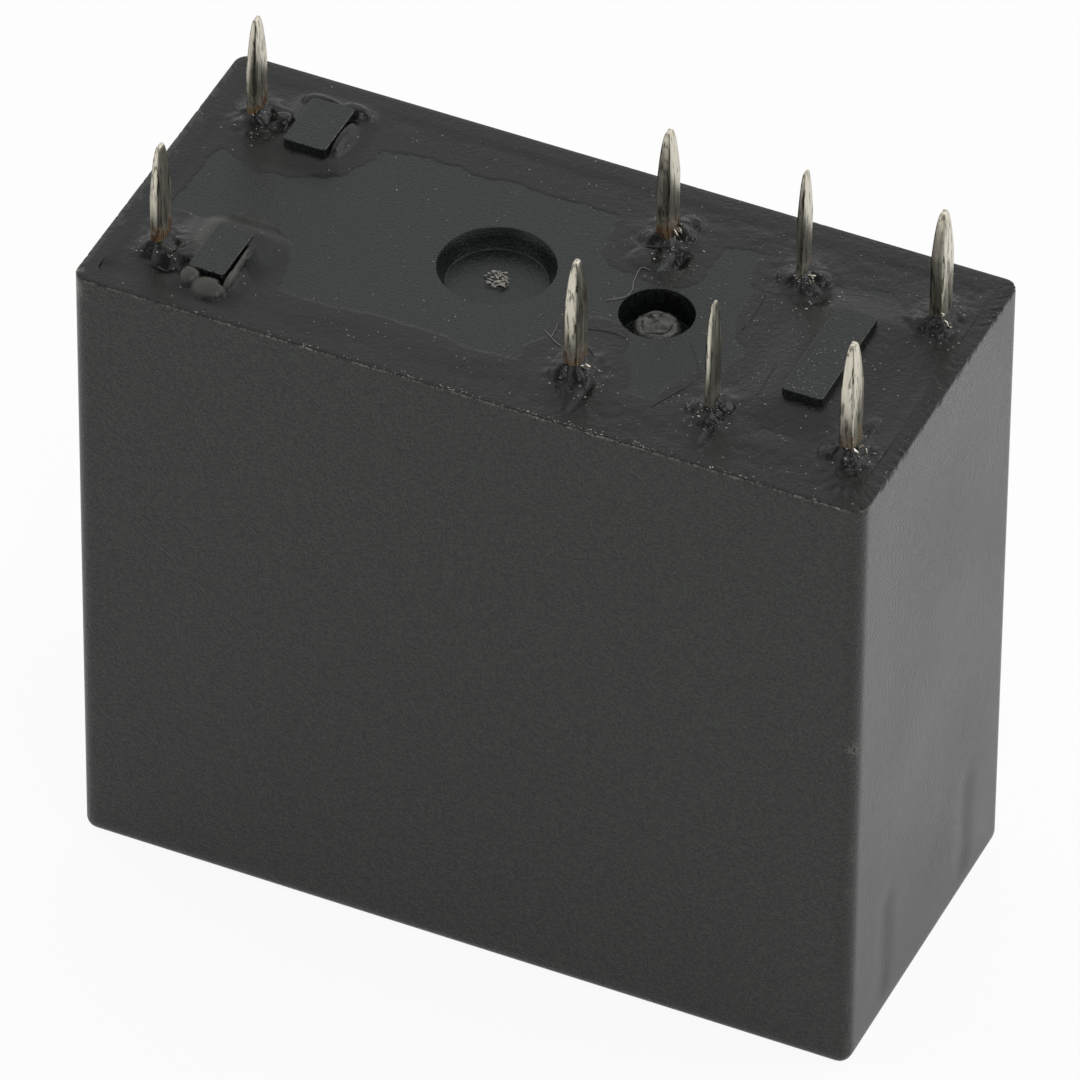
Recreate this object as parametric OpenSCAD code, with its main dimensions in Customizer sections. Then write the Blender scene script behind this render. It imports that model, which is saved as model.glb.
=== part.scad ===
// Two-pole changeover relay for a printed circuit board, standing on the closed end of its case.
// The terminals point up (+Z). +X runs from the coil to the contacts. The front is at -Y.
// Millimetres. The origin is the centre of the case's closed face.

/* [Case] */
// Length of the case
case_l = 29; // [27.5:0.1:31]
// Width of the case
case_w = 13.2; // [13:0.1:15]
// Height of the case from its closed face to its rim
case_h = 25; // [24.4:0.1:27]
// Thickness of the side walls
wall = 0.6; // [0.4:0.05:0.7]
// Thickness of the closed end
floor_t = 0.7; // [0.5:0.05:1]
// Radius of the outer edges
edge_r = 0.5; // [0.3:0.05:0.8]
// Radius of the cavity's corners
cavity_r = 0.4; // [0.25:0.05:0.6]
// Width of the ribs inside the contact end
rib_w = 0.5; // [0.3:0.05:0.8]
// Height of those ribs off the wall
rib_h = 0.4; // [0.2:0.05:0.5]
// Length of those ribs up from the closed end
rib_l = 5.4; // [4:0.1:7]
// Depth of the soft sink mark outside each rib
sink_depth = 0.06; // [0.02:0.01:0.1]
// Radius of the sink marks' hollow
sink_r = 2.4; // [1.5:0.1:4]
// Place of the front rib across the case
rib_front_y = -3.6; // [-4.2:0.1:-2.5]
// Place of the back rib across the case
rib_back_y = 3.3; // [2.5:0.1:4.2]

/* [Base] */
// Thickness of the base under the resin
base_t = 2.8; // [2.4:0.1:3.2]
// Clearance between the base and the case
base_gap = 0.1; // [0.05:0.01:0.15]
// Depth of the resin channel's floor below the rim
channel_depth = 0.7; // [0.5:0.05:0.9]
// Depth of the base's bare face below the rim
face_depth = 0.05; // [0.05:0.05:0.3]
// Margin of the bare face from the cavity's ends
face_end_margin = 0.6; // [0.4:0.1:1.2]
// Margin of the bare face from the cavity's long sides
face_side_margin = 1.6; // [1.2:0.1:2]
// Corner radius of the bare face
face_r = 0.8; // [0.4:0.1:1.2]
// Radius of the resin well round each terminal
well_r = 1.7; // [1.4:0.05:1.9]
// Height of the stand-off pads above the rim
pad_h = 0.5; // [0.3:0.05:0.8]
// Corner radius of the pads
pad_r = 0.15; // [0.1:0.05:0.3]
// Distance of the two coil-end pads from the coil terminals
coil_pad_offset = 2.35; // [2.2:0.05:3]
// Place of those pads off the centre line
coil_pad_y = 3.7; // [3:0.05:4]
// Length of those pads along the case
coil_pad_l = 1.6; // [1.2:0.1:2]
// Width of those pads across the case
coil_pad_w = 2.45; // [1.8:0.05:2.8]
// Distance of the contact-end pad from the last contact terminals
end_pad_offset = 2.4; // [2:0.05:2.6]
// Length of that pad along the case
end_pad_l = 1.5; // [1.2:0.1:2]
// Width of that pad across the case
end_pad_w = 4.7; // [4:0.1:5]
// Distance of the round gate recess from the first contact terminals
recess_offset = 4.6; // [4.2:0.1:5.4]
// Diameter of the gate recess at its mouth
recess_d = 4.1; // [3.6:0.1:5]
// Depth of the gate recess
recess_depth = 0.75; // [0.4:0.05:1.2]
// Draft of the gate recess's wall in degrees
recess_draft = 20; // [5:1:30]
// Diameter of the broken gate stub
gate_d = 0.7; // [0.5:0.1:1.4]
// Height of the broken gate stub
gate_h = 0.05; // [0.05:0.05:0.4]
// Distance of the vent past the first contact terminals
vent_offset = 1.3; // [1.1:0.1:2.2]
// Diameter of the vent's counterbore
vent_d = 2.6; // [2.2:0.05:3]
// Depth of the vent's counterbore
vent_depth = 1.2; // [0.9:0.1:1.5]
// Diameter of the vent's bore
vent_bore = 1; // [0.7:0.1:1.2]
// Diameter of the plug's domed head
plug_d = 1.7; // [1.4:0.1:2]
// Height of the plug's head
plug_h = 0.8; // [0.4:0.05:0.85]
// Thickness of the barrier walls under the base
barrier_t = 0.8; // [0.5:0.1:1]
// Height of the low edge of the barriers above the closed face
barrier_z = 13.6; // [13.4:0.1:15]
// Height of the low edge of the pole barrier beyond the springs
pole_barrier_z = 3.5; // [2:0.1:6]
// Distance of the barrier between coil and contacts from the first contact terminals
barrier_offset = 1.4; // [1.2:0.05:1.5]

/* [Resin] */
// Depth of the resin's surface below the rim
resin_depth = 0.1; // [0.1:0.05:0.4]
// Height of the resin that creeps up each terminal
creep_h = 0.3; // [0.1:0.05:0.4]
// Radius of that creep at its foot
creep_r = 1.25; // [1:0.05:1.35]
// Radius of that creep at its top
creep_top_r = 0.75; // [0.65:0.05:0.9]

/* [Terminals] */
// Distance of the coil terminals from the cavity's coil end
coil_inset = 1.4; // [1.3:0.05:1.6]
// Distance of the last contact terminals from the cavity's contact end
no_inset = 1.1; // [1:0.05:1.3]
// Spacing of the contact terminals along the case
pin_pitch = 5; // [4.9:0.01:5.1]
// Distance of each terminal row from the centre line
row_y = 3.75; // [3.6:0.05:3.81]
// Height of the contact terminals above the rim
contact_pin_h = 4.6; // [3:0.1:6]
// Height of the coil terminals above the rim
coil_pin_h = 4.25; // [3:0.1:6]
// Width of the fixed-contact terminals
fixed_w = 0.95; // [0.8:0.05:1.2]
// Thickness of the fixed-contact terminals
fixed_t = 0.5; // [0.4:0.05:0.6]
// Width of the common terminals
com_w = 0.9; // [0.8:0.05:1.2]
// Thickness of the common terminals
com_t = 0.25; // [0.2:0.05:0.45]
// Width of the coil terminals
coil_w = 1.05; // [0.8:0.05:1.2]
// Thickness of the coil terminals
coil_t = 0.35; // [0.3:0.05:0.5]
// Length of the coined tips
tip_l = 2.3; // [1.2:0.1:2.6]
// Share of a blade's width and thickness left at its point
tip_end = 0.24; // [0.2:0.01:0.4]
// Clearance of the base's slots round the terminals
slot_gap = 0.05; // [0.02:0.01:0.08]
// Width of the terminals' plates inside the case
plate_w = 3; // [2.6:0.1:3.2]
// Inner radius of the plates' bends
bend_r = 0.3; // [0.15:0.05:0.4]
// Drop of the plates' sideways run below the base
jog_drop = 1.2; // [1:0.1:1.6]

/* [Magnet] */
// Distance of the yoke's outer face from the common terminals
yoke_offset = 8.6; // [8.5:0.05:8.8]
// Height of the pole face above the closed face
pole_z = 3.9; // [3.7:0.05:4.4]
// Diameter of the core
core_d = 4.2; // [3.6:0.1:4.6]
// Diameter of the core's pole head
pole_d = 6.6; // [6:0.1:7.4]
// Thickness of the pole head
pole_t = 0.9; // [0.7:0.1:1.2]
// Diameter of the core's riveted neck
neck_d = 3; // [2.4:0.1:3.4]
// Thickness of the yoke
yoke_t = 1.2; // [1.1:0.05:1.3]
// Width of the yoke
yoke_w = 9; // [8:0.1:9.2]
// Clearance between the yoke's end and the terminal bosses
yoke_end_gap = 0.5; // [0.2:0.05:1]
// Radius of the yoke's pivot edge
pivot_r = 0.3; // [0.2:0.05:0.4]
// Clearance of the flanges from the cavity's coil end
flange_end_gap = 0.4; // [0.3:0.05:0.45]
// Clearance of the flanges from the case's long sides
flange_gap = 0.3; // [0.2:0.05:0.5]
// Thickness of the flanges
flange_t = 0.8; // [0.6:0.05:1]
// Corner radius of the flanges
flange_r = 1.5; // [0.8:0.1:2]
// Wall of the bobbin's tube
tube_t = 0.6; // [0.4:0.05:0.8]
// Clearance of the core in the tube
core_gap = 0.05; // [0.03:0.01:0.1]
// Clearance between the bobbin and the yoke
yoke_gap = 0.3; // [0.25:0.01:0.35]
// Margin of the winding inside the flanges
winding_margin = 0.7; // [0.65:0.05:1.2]
// Thickness of the tape round the winding
tape_t = 0.1; // [0.05:0.01:0.12]
// Diameter of the winding's wire ends
lead_d = 0.22; // [0.15:0.01:0.24]
// Turns of each wire end on its terminal
lead_turns = 4; // [2:1:5]
// Length of the coil terminals' posts below the flange
post_l = 1.3; // [1.2:0.1:1.8]

/* [Armature] */
// Thickness of the armature
arm_t = 1.2; // [1.1:0.05:1.3]
// Width of the armature
arm_w = 8.4; // [8:0.1:8.8]
// Margin of the armature's free end inside the flanges
arm_margin = 1.2; // [0.8:0.1:2]
// Corner radius of the armature's free end
arm_r = 1; // [0.5:0.1:2]
// Clearance of the armature at its pivot and at the pole face
pivot_gap = 0.05; // [0.03:0.01:0.08]
// Swing of the armature in degrees
arm_swing = 5; // [4.5:0.1:5]
// Width of the slot between the armature's two prongs
fork_gap = 3.4; // [3:0.1:3.6]
// Width of the hinge spring
hinge_w = 2.6; // [2:0.1:2.8]
// Thickness of the hinge spring
hinge_t = 0.15; // [0.1:0.01:0.2]
// Height of the hinge spring's upper end above the closed face
hinge_top = 17.8; // [17.4:0.1:18.4]
// Diameter of the yoke's bosses that hold the hinge spring
boss_d = 1; // [0.8:0.1:1.2]
// Height of the card's push line above the closed face
push_z = 11.3; // [11:0.1:11.5]
// Thickness of the card's plate
card_t = 1; // [0.8:0.1:1.1]
// Diameter of the card's studs
stud_d = 1; // [0.8:0.1:1.2]
// Clearance of the studs in the armature's holes
stud_gap = 0.03; // [0.01:0.01:0.05]
// Width of the card's tongue
tongue_w = 3; // [2.4:0.1:3.2]
// Thickness of the card's tongue
tongue_t = 1.2; // [0.8:0.1:1.4]
// Radius of the card's noses
nose_r = 0.4; // [0.3:0.02:0.44]
// Rest clearance between the noses and the springs
push_gap = 0.05; // [0.04:0.01:0.08]

/* [Contacts] */
// Thickness of the moving springs
leaf_t = 0.2; // [0.12:0.01:0.25]
// Width of the moving springs
leaf_w = 3.2; // [2.8:0.1:3.4]
// Rest clearance between a moving spring and its terminal
leaf_gap = 0.09; // [0.08:0.01:0.12]
// Swing of the moving springs in degrees
leaf_swing = 3.85; // [3.7:0.05:4]
// Drop of the springs' rivets below the base
rivet_drop = 2.1; // [2:0.1:2.4]
// Diameter of the springs' rivets
rivet_d = 0.7; // [0.5:0.05:0.8]
// Spacing of the two rivets of a spring
rivet_pitch = 1.6; // [1.4:0.1:1.8]
// Height of the contacts above the closed face
contact_z = 7.5; // [7.2:0.1:7.8]
// Diameter of the contact heads
contact_d = 2.4; // [2:0.1:2.6]
// Thickness of the contact heads
contact_t = 0.7; // [0.5:0.05:0.8]
// Diameter of the contacts' shanks
shank_d = 1.2; // [1:0.1:1.4]
// Rise of the moving contacts' domes
dome_h = 0.2; // [0.1:0.02:0.3]
// Clearance left between contacts that meet
touch_gap = 0.02; // [0.02:0.01:0.04]

/* [Hidden] */
$fn = 64;

// Overrun of cutting shapes past the faces they cut, and overlap of shapes that fuse edge to edge
cut = 0.5;
lap = 0.02;
front = -1;
back = 1;

// Cavity of the case and levels of the base
cavity_l = case_l - 2 * wall;
cavity_w = case_w - 2 * wall;
channel_z = case_h - channel_depth;
face_z = case_h - face_depth;
resin_z = case_h - resin_depth;
pad_z = case_h + pad_h;
base_z = channel_z - base_t;
base_l = cavity_l - 2 * base_gap;
base_w = cavity_w - 2 * base_gap;

// Terminal columns, from the two ends of the cavity, and what lines up with them on the base
coil_pin_x = coil_inset - cavity_l / 2;
no_x = cavity_l / 2 - no_inset;
com_x = no_x - pin_pitch;
nc_x = com_x - pin_pitch;
coil_pad_x = coil_pin_x + coil_pad_offset;
end_pad_x = no_x - end_pad_offset;
recess_x = nc_x - recess_offset;
vent_x = nc_x + vent_offset;
barrier_x = nc_x - barrier_offset;
shoulder_gap = 0.05;
shoulder_z = base_z - shoulder_gap;
jog_z = base_z - jog_drop;
coil_pin_top = case_h + coil_pin_h;
contact_pin_top = case_h + contact_pin_h;
// Flats that a tip's parabola is coined from
tip_flats = 5;

// Magnet, from the pole face up to the base; the coil fills what the contacts leave of the length
yoke_seat_gap = 0.1;
yoke_top = base_z - yoke_seat_gap;
yoke_low = yoke_top - yoke_t;
yoke_out_x = com_x - yoke_offset;
yoke_in_x = yoke_out_x - yoke_t;
flange_low_x = flange_end_gap - cavity_l / 2;
flange_high_x = yoke_in_x - yoke_gap;
flange_l = flange_high_x - flange_low_x;
coil_x = (flange_low_x + flange_high_x) / 2;
bobbin_low = pole_z + pole_t;
flange_w = cavity_w - 2 * flange_gap;
winding_low = bobbin_low + flange_t;
winding_top = yoke_low - flange_t;
winding_d = min(flange_l, flange_w) - 2 * winding_margin;
tube_r = core_d / 2 + core_gap + tube_t;
yoke_bend_r = yoke_t + bend_r;
post_z = winding_top - post_l;
socket_l = 1.8;
socket_w = 2;
yoke_end_x = coil_pin_x + socket_l / 2 + yoke_end_gap;

// Armature, built about the yoke's pivot edge
pivot_x = yoke_out_x - pivot_r;
pivot_z = pole_z + pivot_r;
arm_in = pivot_r + pivot_gap;
arm_out = arm_in + arm_t;
arm_face_x = pivot_x + arm_out;
arm_len = pivot_x - flange_low_x - arm_margin;
leg_over = 1.2;
card_drop = 1.5;
card_rise = 1.1;
card_side = 0.4;
head_inset = 0.35;
head_lip = 0.2;
head_over = 0.25;
leg_h = push_z + leg_over - pivot_z;
slot_foot = 0.3;
stud_y = (fork_gap / 2 + arm_w / 2) / 2;
boss_drop = 1;
boss_step = 1.8;
hinge_boss_z = [hinge_top - boss_drop - boss_step, hinge_top - boss_drop];
hinge_wrap = 50;
hinge_step = 1.2;

// Moving springs, each about the line of its rivets
leaf_x = com_x + com_t / 2 + leaf_gap + leaf_t / 2;
rivet_z = base_z - rivet_drop;
rivet_head_gap = 0.08;
leaf_over = 0.9;
leaf_foot = 1.7;
nose_x = leaf_x - leaf_t / 2 - push_gap - nose_r;

// Contacts: the closed one touches at rest, the open one at full swing
dome_r = (contact_d * contact_d / 4 + dome_h * dome_h) / (2 * dome_h);
dome_x = leaf_t / 2 + contact_t - dome_r;
nc_face_x = leaf_x - leaf_t / 2 - contact_t - touch_gap;
no_face_x = leaf_x + dome_x * cos(leaf_swing) + (rivet_z - contact_z) * sin(leaf_swing)
    + dome_r + touch_gap;
nc_plate_x = nc_face_x - contact_t - fixed_t / 2;
no_plate_x = no_face_x + contact_t + fixed_t / 2;
plate_margin = 0.4;
plate_foot = contact_d / 2 + plate_margin;
com_foot = 1.1;

// Places of all terminals: place along, blade thickness, blade width
columns = [
    [coil_pin_x, coil_t, coil_w],
    [nc_x, fixed_t, fixed_w],
    [com_x, com_t, com_w],
    [no_x, fixed_t, fixed_w]
];

// Rectangle with round corners, centred
module round_rect(l, w, r) {
    square([l - 2 * r, w], center = true);
    square([l, w - 2 * r], center = true);
    for (sx = [-1, 1], sy = [-1, 1])
        translate([sx * (l / 2 - r), sy * (w / 2 - r)]) circle(r);
}

// Plate between two levels with round corners
module slab(l, w, r, z0, z1) {
    translate([0, 0, z0]) linear_extrude(z1 - z0) round_rect(l, w, r);
}

// Side profile in X and Z carried across the width
module across(w) {
    rotate([90, 0, 0]) linear_extrude(w, center = true) children();
}

// End profile in Y and Z carried along the length
module along(l) {
    rotate([90, 0, 90]) linear_extrude(l, center = true) children();
}

// Profile whose axis is turned to point along +X
module axis_x() {
    rotate([0, 90, 0]) children();
}

// Box given by its centre line and its levels
module bar(x0, x1, w, z0, z1) {
    translate([x0, -w / 2, z0]) cube([x1 - x0, w, z1 - z0]);
}

// Upright wall with its two low edges rounded
module end_profile(w) {
    translate([-w / 2, edge_r]) square([w, case_h - edge_r]);
    translate([-w / 2 + edge_r, 0]) square([w - 2 * edge_r, 2 * edge_r]);
    for (s = [-1, 1])
        translate([s * (w / 2 - edge_r), edge_r]) circle(edge_r);
}

// Quarter ring between two radii, in the quadrant that sx and sy point to
module quarter_ring(r0, r1, sx, sy) {
    intersection() {
        difference() {
            circle(r1);
            circle(r0);
        }
        polygon([[0, 0], [sx * r1, 0], [sx * r1, sy * r1], [0, sy * r1]]);
    }
}

// Strip of sheet that runs down at x1, steps sideways at zj and runs down at x2
module jog_profile(x1, x2, z_top, zj, z_end, t) {
    s = sign(x2 - x1);
    rc = bend_r + t / 2;
    translate([x1 - t / 2, zj + rc]) square([t, z_top - zj - rc]);
    translate([x1 + s * rc, zj + rc]) quarter_ring(bend_r, bend_r + t, -s, -1);
    translate([min(x1 + s * rc, x2 - s * rc), zj - t / 2]) square([abs(x2 - x1) - 2 * rc, t]);
    translate([x2 - s * rc, zj - rc]) quarter_ring(bend_r, bend_r + t, s, 1);
    translate([x2 - t / 2, z_end]) square([t, zj - rc - z_end]);
}

// Outline of a blade with its coined tip
module blade_profile(w, z0, z1) {
    shares = [for (i = [0 : tip_flats]) 1 - i / tip_flats];
    right = [for (s = shares) [(tip_end + (1 - tip_end) * s) * w / 2, z1 - s * s * tip_l]];
    left = [for (i = [tip_flats : -1 : 0]) [-right[i][0], right[i][1]]];
    polygon(concat([[-w / 2, z0], [w / 2, z0]], right, left));
}

// Terminal blade with a tip that narrows both ways
module blade(x, y, t, w, z0, z1) {
    translate([x, y, 0]) intersection() {
        along(2 * t) blade_profile(w, z0, z1);
        across(2 * w) blade_profile(t, z0, z1);
    }
}

// Straight section of every terminal, grown by a clearance, between two levels
module terminal_sections(gap, z0, z1) {
    for (c = columns, side = [front, back])
        translate([c[0] - c[1] / 2 - gap, side * row_y - c[2] / 2 - gap, z0])
            cube([c[1] + 2 * gap, c[2] + 2 * gap, z1 - z0]);
}

// Base face that stays bare of resin: a long island cut by a round well at each terminal
module bare_face(z0, z1) {
    translate([0, 0, z0]) linear_extrude(z1 - z0) difference() {
        round_rect(cavity_l - 2 * face_end_margin, cavity_w - 2 * face_side_margin, face_r);
        for (c = columns, side = [front, back])
            translate([c[0], side * row_y]) circle(well_r);
    }
}

// The three stand-off pads
module pads(z0, z1) {
    for (side = [front, back])
        translate([coil_pad_x, side * coil_pad_y, 0]) slab(coil_pad_l, coil_pad_w, pad_r, z0, z1);
    translate([end_pad_x, 0, 0]) slab(end_pad_l, end_pad_w, pad_r, z0, z1);
}

module case() {
    color([0.14, 0.145, 0.14]) difference() {
        union() {
            difference() {
                intersection() {
                    slab(case_l, case_w, edge_r, 0, case_h);
                    across(2 * case_w) end_profile(case_l);
                    along(2 * case_l) end_profile(case_w);
                }
                slab(cavity_l, cavity_w, cavity_r, floor_t, case_h + cut);
            }
            for (y = [rib_front_y, rib_back_y])
                translate([0, y, 0])
                    bar(cavity_l / 2 - rib_h, cavity_l / 2 + wall / 2, rib_w, floor_t / 2, floor_t + rib_l);
        }
        for (y = [rib_front_y, rib_back_y])
            translate([case_l / 2 + sink_r - sink_depth, y, floor_t + edge_r])
                cylinder(h = rib_l - edge_r, r = sink_r);
    }
}

// Walls under the base that keep coil and poles apart and hold the yoke
module base_walls() {
    rail_gap = 0.05;
    rail_x0 = yoke_end_x + flange_r;
    bar(barrier_x - barrier_t / 2, barrier_x + barrier_t / 2, base_w, barrier_z, base_z + cut);
    bar(barrier_x, base_l / 2, barrier_t, barrier_z, base_z + cut);
    bar(no_face_x - contact_t, base_l / 2, barrier_t, pole_barrier_z, base_z + cut);
    for (side = [front, back])
        translate([0, side * (yoke_w / 2 + base_w / 2) / 2, 0])
            bar(rail_x0, yoke_in_x, (base_w - yoke_w) / 2 - 2 * rail_gap, yoke_low + rail_gap, base_z + cut);
}

module base() {
    recess_floor = face_z - recess_depth;
    recess_slope = tan(recess_draft);
    gate_flare = 0.18;
    color([0.2, 0.2, 0.195]) difference() {
        union() {
            difference() {
                union() {
                    slab(base_l, base_w, cavity_r - base_gap, base_z, channel_z);
                    bare_face(base_z + cut, face_z);
                }
                translate([recess_x, 0, recess_floor])
                    cylinder(h = recess_depth + cut, d1 = recess_d - 2 * recess_depth * recess_slope,
                        d2 = recess_d + 2 * cut * recess_slope);
            }
            pads(channel_z - cut, pad_z);
            translate([recess_x, 0, recess_floor - cut / 2])
                cylinder(h = gate_h + cut / 2, d1 = gate_d + 2 * gate_flare, d2 = gate_d);
            base_walls();
        }
        translate([vent_x, 0, face_z - vent_depth]) cylinder(h = vent_depth + cut, d = vent_d);
        translate([vent_x, 0, base_z - cut]) cylinder(h = base_t + 2 * cut, d = vent_bore);
        terminal_sections(slot_gap, base_z - cut, face_z + cut);
    }
}

module sealant() {
    color([0.23, 0.22, 0.2]) difference() {
        union() {
            slab(cavity_l, cavity_w, cavity_r, channel_z, resin_z);
            intersection() {
                slab(cavity_l, cavity_w, cavity_r, channel_z, pad_z);
                for (c = columns, side = [front, back])
                    translate([c[0], side * row_y, resin_z])
                        cylinder(h = creep_h, r1 = creep_r, r2 = creep_top_r);
            }
        }
        bare_face(channel_z - cut, face_z + cut);
        pads(channel_z - cut, pad_z);
        terminal_sections(0, channel_z - cut, pad_z + cut);
    }
}

module vent_plug() {
    stem_gap = 0.03;
    stem_l = 1;
    seat = face_z - vent_depth;
    cap_r = (plug_d * plug_d / 4 + plug_h * plug_h) / (2 * plug_h);
    color([0.42, 0.42, 0.4]) translate([vent_x, 0, seat]) {
        translate([0, 0, -stem_l]) cylinder(h = stem_l, d = vent_bore - 2 * stem_gap);
        intersection() {
            translate([0, 0, plug_h - cap_r]) sphere(cap_r);
            cylinder(h = plug_h, d = plug_d);
        }
    }
}

module bobbin() {
    color([0.85, 0.83, 0.76]) difference() {
        union() {
            translate([coil_x, 0, 0]) {
                slab(flange_l, flange_w, flange_r, bobbin_low, winding_low);
                slab(flange_l, flange_w, flange_r, winding_top, yoke_low);
                translate([0, 0, bobbin_low]) cylinder(h = yoke_low - bobbin_low, r = tube_r);
            }
            for (side = [front, back])
                translate([coil_pin_x, side * row_y, 0])
                    bar(-socket_l / 2, socket_l / 2, socket_w, winding_top, shoulder_z);
        }
        translate([coil_x, 0, bobbin_low - cut])
            cylinder(h = yoke_low - bobbin_low + 2 * cut, d = core_d + 2 * core_gap);
        terminal_sections(0, post_z, shoulder_z + cut);
    }
}

module coil_winding() {
    color([0.62, 0.3, 0.14]) translate([coil_x, 0, winding_low]) difference() {
        cylinder(h = winding_top - winding_low, d = winding_d);
        translate([0, 0, -cut]) cylinder(h = winding_top - winding_low + 2 * cut, r = tube_r);
    }
}

module coil_tape() {
    color([0.86, 0.72, 0.3]) translate([coil_x, 0, winding_low]) difference() {
        cylinder(h = winding_top - winding_low, d = winding_d + 2 * tape_t);
        translate([0, 0, -cut]) cylinder(h = winding_top - winding_low + 2 * cut, d = winding_d);
    }
}

// Wire end wound close round a coil terminal's post
module lead_wraps() {
    inner_r = norm([coil_t, coil_w]) / 2;
    color([0.7, 0.36, 0.18])
    for (side = [front, back]) difference() {
        translate([coil_pin_x, side * row_y, winding_top - lead_turns * lead_d]) rotate_extrude() {
            square([inner_r + lead_d / 2, lead_turns * lead_d]);
            for (i = [0 : lead_turns - 1])
                translate([inner_r + lead_d / 2, (i + 0.5) * lead_d]) circle(lead_d / 2);
        }
        terminal_sections(0, post_z - cut, winding_top + cut);
    }
}

module core() {
    color([0.66, 0.67, 0.68]) translate([coil_x, 0, 0]) {
        translate([0, 0, pole_z]) cylinder(h = pole_t, d = pole_d);
        translate([0, 0, pole_z]) cylinder(h = yoke_low - pole_z, d = core_d);
        translate([0, 0, pole_z]) cylinder(h = yoke_top - pole_z, d = neck_d);
    }
}

// Bent steel strap with a round outer edge at its low end
module yoke_profile() {
    bend_x = yoke_out_x - yoke_bend_r;
    bend_z = yoke_top - yoke_bend_r;
    translate([yoke_end_x, yoke_low]) square([bend_x - yoke_end_x, yoke_t]);
    translate([bend_x, bend_z]) quarter_ring(bend_r, yoke_bend_r, 1, 1);
    translate([yoke_in_x, pivot_z]) square([yoke_t, bend_z - pivot_z]);
    translate([yoke_in_x, pole_z]) square([yoke_t - pivot_r, 2 * pivot_r]);
    translate([pivot_x, pivot_z]) circle(pivot_r);
}

module yoke() {
    boss_over = 0.25;
    color([0.7, 0.71, 0.72]) {
        difference() {
            across(yoke_w) yoke_profile();
            translate([coil_x, 0, yoke_low - cut]) cylinder(h = yoke_t + 2 * cut, d = neck_d);
        }
        for (z = hinge_boss_z)
            translate([yoke_out_x - cut, 0, z])
                axis_x() cylinder(h = cut + hinge_t + boss_over, d = boss_d);
    }
}

// Bell crank about the pivot: the leg under the pole hangs open by the swing, the prongs stand upright
module armature_profile() {
    far = 2 * arm_out;
    translate([pivot_x, pivot_z]) {
        rotate(arm_swing) translate([-arm_len, -arm_out]) square([arm_len + lap, arm_t]);
        translate([arm_in, 0]) square([arm_t, leg_h]);
        intersection() {
            difference() {
                circle(arm_out);
                circle(arm_in);
            }
            polygon([[0, 0], [far, 0], [far, -far], [far * sin(arm_swing), -far * cos(arm_swing)]]);
        }
    }
}

module armature() {
    plan_l = 2 * (arm_len + 2 * arm_out);
    color([0.6, 0.61, 0.62]) difference() {
        intersection() {
            across(arm_w) armature_profile();
            translate([pivot_x - arm_len + plan_l / 2, 0, 0]) slab(plan_l, arm_w, arm_r, 0, case_h);
        }
        bar(pivot_x, arm_face_x + cut, fork_gap, pivot_z + slot_foot, case_h);
        for (side = [front, back])
            translate([pivot_x, side * stud_y, push_z])
                axis_x() cylinder(h = arm_out + cut, d = stud_d + 2 * stud_gap);
    }
}

// Leaf on the yoke that passes between the prongs and holds the armature's bend from outside
module hinge_spring() {
    wrap_in = arm_out + pivot_gap;
    wrap_out = wrap_in + hinge_t;
    step_z = pivot_z + hinge_step;
    far = 2 * wrap_out;
    color([0.78, 0.72, 0.55]) difference() {
        across(hinge_w) {
            jog_profile(yoke_out_x + hinge_t / 2, pivot_x + wrap_in + hinge_t / 2,
                hinge_top, step_z, pivot_z, hinge_t);
            translate([pivot_x, pivot_z]) intersection() {
                difference() {
                    circle(wrap_out);
                    circle(wrap_in);
                }
                polygon([[0, 0], [far, 0], [far * cos(hinge_wrap), -far * sin(hinge_wrap)]]);
            }
        }
        for (z = hinge_boss_z)
            translate([yoke_out_x - cut, 0, z]) axis_x() cylinder(h = 2 * cut, d = boss_d);
    }
}

module card() {
    plate_x = arm_face_x + card_t;
    stud_short = 0.24;
    stud_l = arm_t - stud_short;
    head_w = 2 * (row_y - head_inset);
    head_x = nose_x - nose_r - head_lip;
    head_t = 2 * (nose_r + head_over);
    color([0.9, 0.9, 0.86]) {
        bar(arm_face_x, plate_x, arm_w - 2 * card_side, push_z - card_drop, push_z + card_rise);
        bar(plate_x - cut, nose_x, tongue_w, push_z - tongue_t / 2, push_z + tongue_t / 2);
        bar(head_x, nose_x, head_w, push_z - head_t / 2, push_z + head_t / 2);
        translate([nose_x, 0, push_z]) rotate([90, 0, 0]) cylinder(h = head_w, r = nose_r, center = true);
        for (side = [front, back])
            translate([arm_face_x - stud_l, side * stud_y, push_z])
                axis_x() cylinder(h = stud_l + cut, d = stud_d);
    }
}

module coil_terminal(side) {
    color([0.8, 0.79, 0.74])
    blade(coil_pin_x, side * row_y, coil_t, coil_w, post_z, coil_pin_top);
}

// Blade above the base and a plate that steps over to carry a fixed contact
module fixed_terminal(side, x, plate_x) {
    color([0.8, 0.78, 0.72]) difference() {
        union() {
            blade(x, side * row_y, fixed_t, fixed_w, jog_z + bend_r + fixed_t / 2, contact_pin_top);
            translate([0, side * row_y, 0]) across(plate_w)
                jog_profile(x, plate_x, shoulder_z, jog_z, contact_z - plate_foot, fixed_t);
        }
        translate([plate_x - fixed_t, side * row_y, contact_z])
            axis_x() cylinder(h = 2 * fixed_t, d = shank_d);
    }
}

module com_terminal(side) {
    plate_end = rivet_z - com_foot;
    color([0.8, 0.76, 0.66]) difference() {
        union() {
            blade(com_x, side * row_y, com_t, com_w, plate_end, contact_pin_top);
            translate([0, side * row_y, 0])
                bar(com_x - com_t / 2, com_x + com_t / 2, plate_w, plate_end, shoulder_z);
        }
        for (s = [-1, 1])
            translate([com_x - com_t, side * row_y + s * rivet_pitch / 2, rivet_z])
                axis_x() cylinder(h = 2 * com_t, d = rivet_d);
    }
}

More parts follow.
